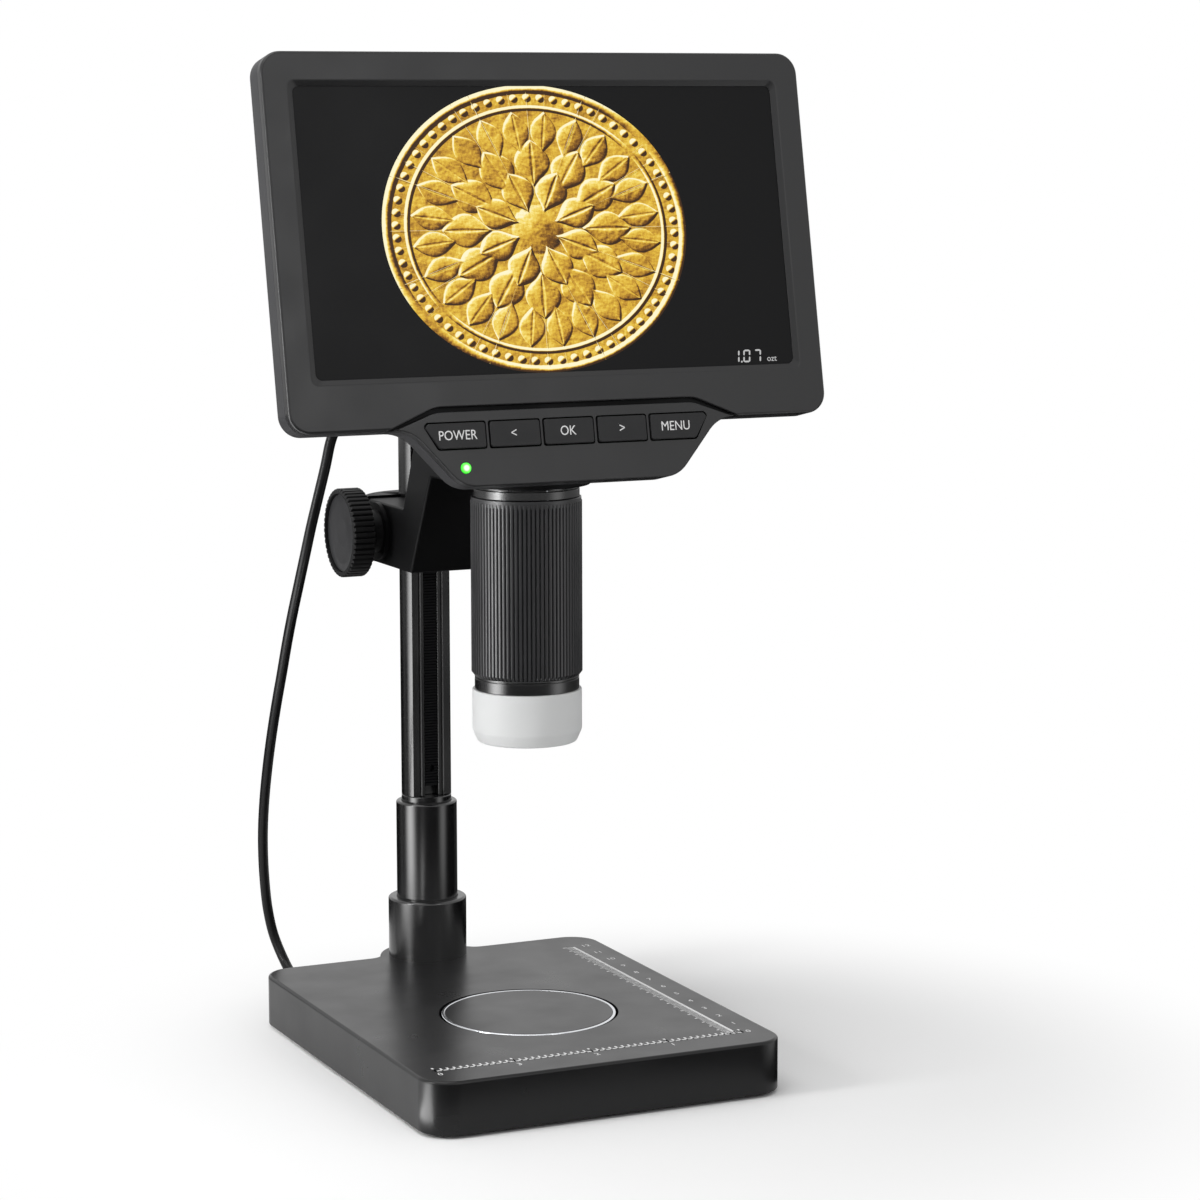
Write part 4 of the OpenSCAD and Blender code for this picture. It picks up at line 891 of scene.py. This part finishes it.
# Lens barrel, focus ring, lamp collar and frosted cap
barrel = {"neck": 16.45, "neckLow": 180.6, "neckTop": 184.2, "tube": 13.4, "tubeIn": 11.6, "tubeLow": 117.2}
focus = {"radius": 17.2, "ribs": 80, "ribDepth": 0.5, "lowZ": 125.1, "topZ": 180.5, "chamfer": 1.1,
         "chamferRadius": 16.3, "plainBand": 1.3, "bandRadius": 17.0, "bore": 13.45, "pocket": 15.2,
         "pocketLow": 134.5, "pocketTop": 157.5}
lampRing = {"radius": 16.2, "lowZ": 120.7, "topZ": 125.0, "spigot": 15.4, "spigotLow": 117.2, "bore": 13.45}
frostedCap = {"radius": 17.0, "lowZ": 104.2, "topZ": 120.7, "taper": 3.8, "footRadius": 15.3, "inside": 15.45,
              "floor": 1.6, "eye": 10}


def makeBarrel():
    b, top, neck = barrel, barrel["neckTop"], barrel["neck"]
    dressedSpin("barrel_neck", [
        (b["tubeIn"], b["tubeLow"], 0), (b["tube"], b["tubeLow"], 0), (b["tube"], b["neckLow"], 0),
        (neck, b["neckLow"], 0.15), (neck, top - 1.1, 0.15), (neck - 0.7, top - 1.0, 0.1),
        (neck - 0.7, top - 0.7, 0.1), (neck - 0.1, top - 0.6, 0.1), (neck - 0.1, top, 0),
        (b["tubeIn"], top, 0)],
        onOptic, 128, "glossBlackRing", "carriage", "bracket_coat", "lens_barrel")


def makeFocusRing():
    f = focus
    low, top = f["lowZ"] + f["chamfer"], f["topZ"] - f["plainBand"]
    ribs = toothedOutline(f["radius"], f["ribs"], f["ribDepth"])
    piece = outlinePlate("focus_grip", ribs, top - low, at(0, 0, low))
    startEdit(piece)
    pick("FACE", lambda face: face.normal.z < -0.9)
    pull(-f["chamfer"])
    scale = f["chamferRadius"] / f["radius"]
    scalePicked(scale, scale)
    endEdit()
    band = [(0, top - 1, 0), (f["bandRadius"], top - 1, 0), (f["bandRadius"], f["topZ"], 0.25),
            (0, f["topZ"], 0)]
    weld(piece, spunPiece("band", band, Matrix(), 160))
    cut(piece, rod(f["bore"], f["lowZ"] - 1, f["topZ"] + 1, Matrix(), 128),
        rod(f["pocket"], f["pocketLow"], f["pocketTop"], Matrix(), 128))
    smoothShade(settle(piece, onOptic), 30)
    dress(piece, "turnedBlackAluminium", "focus_ring", "bracket_coat", "focus_ring")


def makeLampCollar():
    r, top, outer = lampRing, lampRing["topZ"], lampRing["radius"]
    dressedSpin("lamp_ring", [
        (r["bore"], r["spigotLow"], 0), (r["spigot"], r["spigotLow"], 0.1), (r["spigot"], r["lowZ"], 0),
        (outer, r["lowZ"], 0.15), (outer, top - 0.9, 0.1), (outer - 0.35, top - 0.8, 0),
        (outer - 0.35, top - 0.6, 0), (outer, top - 0.5, 0.1), (outer, top, 0.15), (r["bore"], top, 0)],
        onOptic, 128, "glossBlackRing", "carriage", "black_plastic", "lamp_collar")


def makeFrostedCap():
    c, low, top = frostedCap, frostedCap["lowZ"], frostedCap["topZ"]
    dressedSpin("frosted_cap", [
        (c["eye"], low, 0.3), (c["footRadius"], low, 1.0), (c["radius"], low + c["taper"], 2.5),
        (c["radius"], top, 0.3), (c["inside"], top, 0.3), (c["inside"], low + c["taper"], 1.0),
        (c["footRadius"] - 1.5, low + c["floor"], 0.5), (c["eye"], low + c["floor"], 0.3)],
        onOptic, 128, "frostedPolycarbonate", "carriage", "frosted", "diffuser_cap")


makeBarrel()
makeFocusRing()
makeLampCollar()
makeFrostedCap()
print("lens barrel is made")

# Screen housing
bezel = {"thickness": 3, "edgeRound": 0.9, "innerRound": 0.4, "glassWidth": 158.2, "glassHeight": 86.5,
         "glassUp": 58.65, "glassCorner": 2.0, "gap": 0.2, "lip": 1.15, "mouthWidth": 156.2,
         "mouthHeight": 86.2, "slope": 1.65, "seam": 1.5, "notchHalf": 42.4, "notchFoot": 57.6,
         "notchCorner": 12}
shell = {"front": 3, "back": 10, "wall": 2, "backRound": 0.7, "humpWidth": 140, "humpHeight": 74,
         "humpUp": 64, "humpBack": 16, "humpCorner": 8, "humpRound": 1.8, "humpWall": 1.6, "post": 2.6,
         "screwHead": 2.15, "screwHole": 1.05,
         "screws": ((-83.1, 4.4), (83.1, 4.4), (-83.1, 108.4), (0, 108.4), (83.1, 108.4))}
# The panel's last entry sets how deep the black strip of painted shade sits in the seam under the bezel
panel = {"thickness": 3, "top": 4.85, "topHalf": 42.1, "footHalf": 55.5, "topCorner": 11, "edgeRound": 0.4,
         "shadeStripDepth": 1.6}
keys = {"pitch": 17.5, "width": 16, "height": 7.6, "up": -2.3, "proud": 0.5, "back": 3.0, "corner": 0.8,
        "gap": 0.38, "edgeRound": 0.3, "legend": 2.95, "legendSqueeze": 0.88}
# Each key has its name, its legend and how far the legend sits from the middle
keyRow = (("power", "POWER", -1.0), ("left", "<", -0.5), ("ok", "OK", -0.4), ("right", ">", -0.1),
          ("menu", "MENU", 0.2))
statusLight = {"x": -34, "up": -11.9, "radius": 1.6, "gap": 0.08}


def tabCorners():
    # The tab's corners from its right top to its left top
    half, deep = housing["tabHalf"], housing["tabHeight"]
    foot = half - deep / math.tan(math.radians(housing["tabAngle"]))
    return [(half, 0, housing["tabFillet"]), (foot, -deep, housing["tabCorner"]),
            (-foot, -deep, housing["tabCorner"]), (-half, 0, housing["tabFillet"])]


def housingCorners():
    # The upper four, from the left foot round to the right foot
    half, high, corner = housing["width"] / 2, housing["height"], housing["corner"]
    return [(-half, 0, corner), (-half, high, corner), (half, high, corner), (half, 0, corner)]


def makeShell():
    s = shell
    deep, rise, inner = s["back"] - s["front"], s["humpBack"] - s["back"], s["humpWall"]
    piece = outlinePlate("screen_back", roundedOutline(housingCorners() + tabCorners(), 7.5), deep)
    startEdit(piece)
    bevelPicked(atLevel(0), s["backRound"], 5)
    pick("FACE", lambda face: face.normal.z > 0.99 and face.calc_center_median().z > (deep - 0.01) * mm)
    bpy.ops.mesh.inset(thickness=s["wall"] * mm, depth=0)
    pull(-(deep - s["wall"]))
    endEdit()
    outside = roundedBox(s["humpWidth"], s["humpHeight"], s["humpCorner"], 0, s["humpUp"], 7.5)
    room = roundedBox(s["humpWidth"] - 2 * inner, s["humpHeight"] - 2 * inner, s["humpCorner"] - inner, 0,
                      s["humpUp"])
    hump = outlinePlate("hump", outside, rise + s["wall"], at(0, 0, -rise))
    weld(piece, roundLevels(hump, (-rise, s["humpRound"], 4)))
    cut(piece, outlinePlate("room", room, rise + s["wall"] + 1, at(0, 0, inner - rise)))
    weld(piece, *[rod(s["post"], 1, deep, at(x, up), 32) for x, up in s["screws"]])
    cut(piece, *[rod(s["screwHead"], -1, 1, at(x, up), 48) for x, up in s["screws"]],
        *[rod(s["screwHole"], 0, deep + 1, at(x, up), 24) for x, up in s["screws"]])
    settle(smoothShade(piece), onHousing(s["back"]))
    dress(piece, "mouldedShellPlastic", "display", "shell_plastic", "rear_shell")


def makeBezel():
    z, ledge = bezel, panel["top"] + bezel["seam"]
    piece = outlinePlate("screen_bezel", roundedOutline(housingCorners() + [
        (z["notchFoot"], 0, 0), (z["notchHalf"], ledge, z["notchCorner"]),
        (-z["notchHalf"], ledge, z["notchCorner"]), (-z["notchFoot"], 0, 0)], 7.5), z["thickness"])
    front = atLevel(z["thickness"])
    inNotch = lambda edge: all(abs(v.co.x) < (z["notchFoot"] + 0.5) * mm and v.co.y < (ledge + 0.5) * mm
                               for v in edge.verts)
    startEdit(piece)
    bevelPicked(lambda edge: front(edge) and not inNotch(edge), z["edgeRound"], 4)
    bevelPicked(lambda edge: front(edge) and inNotch(edge), z["innerRound"], 2)
    endEdit()
    wide, tall, corner, middle = z["mouthWidth"], z["mouthHeight"], z["glassCorner"], z["glassUp"]
    opening = roundedBox(z["glassWidth"] + 2 * z["gap"], z["glassHeight"] + 2 * z["gap"], corner, 0, middle)
    cut(piece, outlinePlate("opening", opening, z["thickness"] - z["lip"] + 1, at(0, 0, -1)))
    # The lip over the glass: a narrow upright land, then a slope out to the face
    mouth = outlinePlate("mouth", roundedBox(wide, tall, corner, 0, middle), 0.4,
                         at(0, 0, z["thickness"] - z["lip"] - 0.2))
    startEdit(mouth)
    pick("FACE", lambda face: face.normal.z > 0.9)
    pull(z["lip"] - 0.2)
    scalePicked(1 + 2 * z["slope"] / wide, 1 + 2 * z["slope"] / tall, (0, middle * mm, 0))
    pull(1)
    endEdit()
    cut(piece, mouth)
    rim = z["slope"] + 0.5
    byMouth = lambda edge: all(abs(v.co.x) < (wide / 2 + rim) * mm
                               and abs(v.co.y - middle * mm) < (tall / 2 + rim) * mm for v in edge.verts)
    startEdit(piece)
    bevelPicked(lambda edge: front(edge) and byMouth(edge), z["innerRound"], 3)
    endEdit()
    soften(piece, 0.12, 35, 2)
    settle(smoothShade(piece), onHousing(z["thickness"]))
    dress(piece, "satinBezelPlastic", "display", "bezel_plastic", "front_bezel")


def keyOutline(index, grow=0.0):
    # The outer keys run out to a slanted point
    middle, half = index * keys["pitch"], keys["width"] / 2 + grow
    low, high = keys["up"] - keys["height"] / 2 - grow, keys["up"] + keys["height"] / 2 + grow
    side, soft = (1 if index > 0 else -1), keys["corner"]
    if abs(index) < 2:
        return roundedBox(2 * half, high - low, soft, middle, keys["up"], 15)
    return roundedOutline([
        (middle - side * half, low, soft), (middle + side * (half - 1.1), low, 1.4),
        (middle + side * (half + 3.0), high - 1.2, 0.8), (middle + side * (half + 2.0), high, 0.8),
        (middle - side * half, high, soft)], 15)


def makePanel():
    p = panel
    piece = outlinePlate("control_face", roundedOutline([
        (-p["footHalf"], 0, 0), (-p["topHalf"], p["top"], p["topCorner"]),
        (p["topHalf"], p["top"], p["topCorner"]), (p["footHalf"], 0, 0), *tabCorners()], 7.5), p["thickness"])
    roundLevels(piece, (p["thickness"], p["edgeRound"], 3))
    cut(piece, *[outlinePlate("hole", keyOutline(k, keys["gap"]), p["thickness"] + 2, at(0, 0, -1))
                 for k in range(-2, 3)],
        rod(statusLight["radius"] + statusLight["gap"], -1, p["thickness"] + 1,
            at(statusLight["x"], statusLight["up"]), 32))
    soften(piece, 0.1, 50, 2)
    settle(smoothShade(piece), onHousing(p["thickness"]))
    dress(piece, "satinBezelPlastic", "display", "bezel_plastic", "control_panel")


def makeSeamStrip():
    # Black strip at the bottom of the gap between the bezel and the panel: painted shade, a flat black sheet
    # that makes the seam read dark where the real gap is only in shadow
    b, p, slack = bezel, panel, 0.05
    ledge = p["top"] + b["seam"] - slack
    foot, under = b["notchFoot"] - 2 * slack, p["footHalf"] + 2 * slack
    high, half = p["top"] + slack, p["topHalf"] + slack
    strip = outlinePlate("seam_strip", roundedOutline([
        (-foot, slack, 0), (foot, slack, 0), (b["notchHalf"], ledge, b["notchCorner"]),
        (-b["notchHalf"], ledge, b["notchCorner"])], 7.5), p["thickness"] - p["shadeStripDepth"] - 2 * slack)
    cut(strip, outlinePlate("under", roundedOutline([
        (-under, -1, 0), (under, -1, 0), (under, 0, 0), (half, high, p["topCorner"]),
        (-half, high, p["topCorner"]), (-under, 0, 0)], 7.5), 4, at(0, 0, -1)))
    settle(strip, onHousing(p["thickness"]))
    # The flat black rubber finish on this strip is painted shade for the seam, not a part of the real housing
    dress(smoothShade(strip), "mouldedRubber", "display", "black_plastic")


def makeKeys():
    back, face = keys["back"], -keys["proud"]
    for index, (name, legend, shift) in zip(range(-2, 3), keyRow):
        body = "key_" + name
        piece = outlinePlate(name + "_key_cap", keyOutline(index), back - face)
        roundLevels(piece, (back - face, keys["edgeRound"], 3))
        dress(smoothShade(settle(piece, onHousing(back))), "satinKeyPlastic", body, "key_plastic", body)
        place = onHousing(face - 0.02, index * keys["pitch"] + shift, keys["up"])
        words = inkText(name + "_legend", legend, keys["legend"], place, 0.03, keys["legendSqueeze"])
        dress(words, "whitePrintInk", body, "board_white")


def litPipe():
    # Status light: white-hot middle, green round it
    material, tree, shader = newMaterial("greenLightPipe", "#35c24a", 0.25, 0.0, {
        "IOR": 1.49, "Emission Strength": 1.0})
    place = onHousing(0, statusLight["x"], statusLight["up"]).translation
    coords = addNode(tree, "TexCoord").outputs["Object"]
    away = addNode(tree, "VectorMath", {"operation": "DISTANCE"}, [coords, place]).outputs["Value"]
    share = addNode(tree, "Math", {"operation": "DIVIDE"}, [away, statusLight["radius"] * mm])
    tone = addNode(tree, "ValToRGB", {}, [share])
    fillRamp(tone, [(position, linearColour(colour)) for position, colour in (
        (0.5, "#f6fff2"), (0.7, "#8dff5a"), (0.92, "#3be01a"))])
    tree.links.new(tone.outputs["Color"], shader.inputs["Emission Color"])
    return material


def makeStatusLight():
    s = statusLight
    piece = spunPiece("status_light_dome", [(0, -3.0, 0), (s["radius"], -3.0, 0), (s["radius"], 0.1, 0),
                                            (s["radius"] * 0.72, 0.42, 0.6), (0, 0.5, 0)], Matrix(), 32)
    smoothShade(settle(piece, onHousing(0, s["x"], s["up"])), 40)
    dress(piece, litPipe(), "display", "light_pipe", "status_light")


makeShell()
makeBezel()
makePanel()
makeSeamStrip()
makeKeys()
makeStatusLight()
print("screen housing is made")

# What the screen shows. Each ring of leaves has its count, the radius from and to, the turn and the height.
# The pattern's radii are shares of the token's own
token = {"x": -4.2, "up": 58.8, "width": 99, "height": 86.6, "thickness": 0.02, "beads": 66,
         "beadRing": 0.915, "beadSize": 0.026, "rim": 0.975, "rimWidth": 0.028, "innerRing": 0.845,
         "innerWidth": 0.016, "boss": 0.15,
         "rings": ((8, 0.13, 0.42, 0.0, 1.0), (12, 0.3, 0.62, 0.5, 0.8), (24, 0.54, 0.82, 0.0, 0.55))}
readout = {"digits": "1.07", "x": 57.2, "up": 16.4, "width": 2.4, "height": 3.9, "stroke": 0.5, "pitch": 3.7,
           "slant": 0.09, "unit": "ozt", "unitHeight": 1.9, "thickness": 0.02}
screenDepth = 1.18
# What every lit picture shares: colour and roughness of the panel in front, and its own sockets
litPanel = ("#050505", 0.35, 0.0, {"IOR": 1.45, "Specular IOR Level": 0.18, "Emission Strength": 1.0})


def reliefSteps(shape):
    # Height of the struck pattern at x and y, both given as a share of the token's radius
    steps = [
        ("xx", "MULTIPLY", "x", "x"), ("rr", "MULTIPLY_ADD", "y", "y", "xx"), ("r", "SQRT", "rr"),
        ("angle", "ARCTAN2", "y", "x"),
        ("bead", "MULTIPLY", "angle", shape["beads"] / (2 * math.pi)), ("bead", "FRACT", "bead"),
        ("bead", "SUBTRACT", "bead", 0.5),
        ("bead", "MULTIPLY", "bead", 2 * math.pi * shape["beadRing"] / shape["beads"] / shape["beadSize"]),
        ("out", "SUBTRACT", "r", shape["beadRing"]), ("out", "DIVIDE", "out", shape["beadSize"]),
        ("bead", "MULTIPLY", "bead", "bead"), ("bead", "MULTIPLY_ADD", "out", "out", "bead"),
        ("bead", "SUBTRACT", 1.0, "bead"), ("height", "MAXIMUM", "bead", 0.0)]
    for radius, width in ((shape["innerRing"], shape["innerWidth"]), (shape["rim"], shape["rimWidth"])):
        steps += [
            ("ring", "SUBTRACT", "r", radius), ("ring", "DIVIDE", "ring", width),
            ("ring", "MULTIPLY", "ring", "ring"), ("ring", "SUBTRACT", 1.0, "ring"),
            ("height", "MAXIMUM", "height", "ring")]
    for count, low, high, turn, level in shape["rings"]:
        steps += [
            ("part", "MULTIPLY_ADD", "angle", count / (2 * math.pi), turn), ("part", "FRACT", "part"),
            ("part", "SUBTRACT", "part", 0.5), ("along", "SUBTRACT", "r", low),
            ("along", "DIVIDE", "along", high - low), ("along", "MINIMUM", "along", 1.0),
            ("along", "MAXIMUM", "along", 0.0), ("wide", "MULTIPLY", "along", math.pi),
            ("wide", "SINE", "wide"), ("wide", "MULTIPLY_ADD", "wide", 0.47, 0.002),
            ("part", "DIVIDE", "part", "wide"),
            ("vein", "ABSOLUTE", "part"), ("vein", "DIVIDE", "vein", 0.16), ("vein", "MINIMUM", "vein", 1.0),
            ("part", "MULTIPLY", "part", "part"), ("part", "SUBTRACT", 1.0, "part"),
            ("part", "MAXIMUM", "part", 0.0), ("part", "POWER", "part", 0.5),
            ("vein", "MULTIPLY_ADD", "vein", 0.3, 0.7), ("part", "MULTIPLY", "part", "vein"),
            ("part", "MULTIPLY", "part", level), ("height", "MAXIMUM", "height", "part")]
    return steps + [
        ("boss", "DIVIDE", "r", shape["boss"]), ("boss", "MULTIPLY", "boss", "boss"),
        ("boss", "SUBTRACT", 1.3, "boss"), ("height", "MAXIMUM", "height", "boss")]


def shownToken():
    # Picture of a struck gold token: its relief is shaded as if lit from the upper left
    material, tree, shader = newMaterial("litTokenPicture", *litPanel)
    coords = addNode(tree, "TexCoord").outputs["Object"]
    place = onHousing(0, token["x"], token["up"])
    flat = addNode(tree, "Mapping", {"vector_type": "TEXTURE"}, {
        "Vector": coords, "Location": place.translation, "Rotation": place.to_euler(),
        "Scale": (token["width"] / 2 * mm, token["height"] / 2 * mm, mm)}).outputs["Vector"]
    wear = addNode(tree, "TexNoise", {}, {"Vector": flat, "Scale": 9.0, "Detail": 6.0, "Roughness": 0.68})
    heights = []
    for shift in ((0, 0, 0), (-0.009, 0.011, 0)):
        moved = addNode(tree, "VectorMath", {"operation": "ADD"}, [flat, shift]).outputs["Vector"]
        axes = addNode(tree, "SeparateXYZ", {}, [moved])
        found = {"x": axes.outputs["X"], "y": axes.outputs["Y"]}
        for name, operation, *inputs in reliefSteps(token):
            values = [found.get(value, value) for value in inputs]
            found[name] = addNode(tree, "Math", {"operation": operation}, values).outputs[0]
        scuffs = addNode(tree, "TexNoise", {}, {
            "Vector": moved, "Scale": 22.0, "Detail": 5.0, "Roughness": 0.7})
        rough = [scuffs.outputs["Fac"], 0.42, found["height"]]
        heights.append(addNode(tree, "Math", {"operation": "MULTIPLY_ADD"}, rough))
    slope = addNode(tree, "Math", {"operation": "SUBTRACT"}, heights)
    lit = addNode(tree, "Math", {"operation": "MULTIPLY_ADD"}, [slope, 2.0, 0.02])
    cloudy = addNode(tree, "Math", {"operation": "MULTIPLY_ADD"}, [wear.outputs["Fac"], 0.95, lit])
    tone = addNode(tree, "ValToRGB", {}, [cloudy])
    fillRamp(tone, [(position, linearColour(colour)) for position, colour in (
        (0, "#3a2106"), (0.22, "#7d5010"), (0.42, "#c4922a"), (0.58, "#e3b93a"), (0.78, "#f7dd6c"),
        (1, "#fff6cc"))])
    tree.links.new(tone.outputs["Color"], shader.inputs["Emission Color"])
    return material


def shownDigits():
    # Pale figures of the lit panel
    material, tree, shader = newMaterial("litReadout", *litPanel)
    shader.inputs["Emission Color"].default_value = linearColour("#bdbdbd")
    addGrain(tree, shader, 4, 0.0008, (0.3, 0.4), 40)
    return material


def makeToken():
    t = token
    outline = [Vector((math.cos(angle) * t["width"] / 2, math.sin(angle) * t["height"] / 2))
               for angle in [k * math.pi / 90 for k in range(180)]]
    piece = outlinePlate("screen_token", outline, t["thickness"], onHousing(screenDepth, t["x"], t["up"]))
    dress(piece, shownToken(), "display", "screen")


def segmentBar(x, y, length, standing):
    # A bar with pointed ends, leaning as the figures do
    half, side = length / 2 - 0.06, readout["stroke"] / 2
    corners = [(-half, 0), (-half + side, side), (half - side, side), (half, 0), (half - side, -side),
               (-half + side, -side)]
    if standing:
        corners = [(-b, a) for a, b in corners]
    leaning = [(x + a + (y + b) * readout["slant"], y + b) for a, b in corners]
    return outlinePlate("bar", leaning, readout["thickness"])


def makeReadout():
    r = readout
    wide, tall, stroke = r["width"], r["height"], r["stroke"]
    lit = {"0": "abcdef", "1": "bc", "7": "abc"}
    left, right, low, high = stroke / 2, wide - stroke / 2, 0.25 * tall, 0.75 * tall
    across, standing = wide - stroke, tall / 2 - stroke / 2
    bars = {"a": (wide / 2, tall - stroke / 2, across, False), "d": (wide / 2, stroke / 2, across, False),
            "b": (right, high, standing, True), "c": (right, low, standing, True),
            "e": (left, low, standing, True), "f": (left, high, standing, True)}
    pieces, x = [], 0
    for sign in r["digits"]:
        if sign == ".":
            pieces.append(outlinePlate("dot", [(x - 0.75 + a, b) for a, b in (
                (0, 0), (stroke, 0), (stroke, stroke), (0, stroke))], r["thickness"]))
            continue
        for bar in lit[sign]:
            along, up, length, onEnd = bars[bar]
            pieces.append(segmentBar(x + along, up, length, onEnd))
        x += r["pitch"]
    unitPlace = at(x + 2.5, r["unitHeight"] / 2, r["thickness"] / 2)
    unit = inkText("unit", r["unit"], r["unitHeight"], unitPlace, r["thickness"])
    piece = joinAll("screen_readout", pieces + [unit])
    dress(settle(piece, onHousing(screenDepth, r["x"], r["up"])), shownDigits(), "display", "screen")


makeToken()
makeReadout()
print("screen shows a token and a readout")

# Materials of the pieces that keep the frame's own shape
keptNodes = {
    "blackOxideSteel": ("base_cover", "rack", "rack_screws", "brake_screw", "shell_screws", "hinge_plate"),
    "zincPlatedSteel": ("cover_screws", "load_cell_screws", "column_bolt", "barrel_screws", "pinion_shaft",
                        "hinge_plate_screws", "hinge_pin", "drive_pin"),
    "milledAluminium": ("load_cell", "pan_carrier", "lcd_module"),
    "sinteredBronze": ("shaft_bushes", "pinion_gear", "hinge_washers"),
    "mattBlackNylon": ("key_switches", "lens_cell"), "mouldedRubber": ("feet",),
    "naturalNylon": ("brake_pad",), "coatedAcrylicWindow": ("screen_glass",), "foilPouch": ("battery_pack",),
    "coatedCrownGlass": ("lens_glass",)}
boards = {("greenSolderMask", "#1f5a38"): ("base_board", "camera_board", "main_board", "key_board"),
          ("whiteSolderMask", "#dcdcd6"): ("lamp_board",)}


def setKept(names, material):
    for name in names:
        for slot in nodes[name].material_slots:
            slot.material = material


for name, names in keptNodes.items():
    setKept(names, finish(name))
for look, names in boards.items():
    setKept(names, solderMask(*look))
print("materials are set")
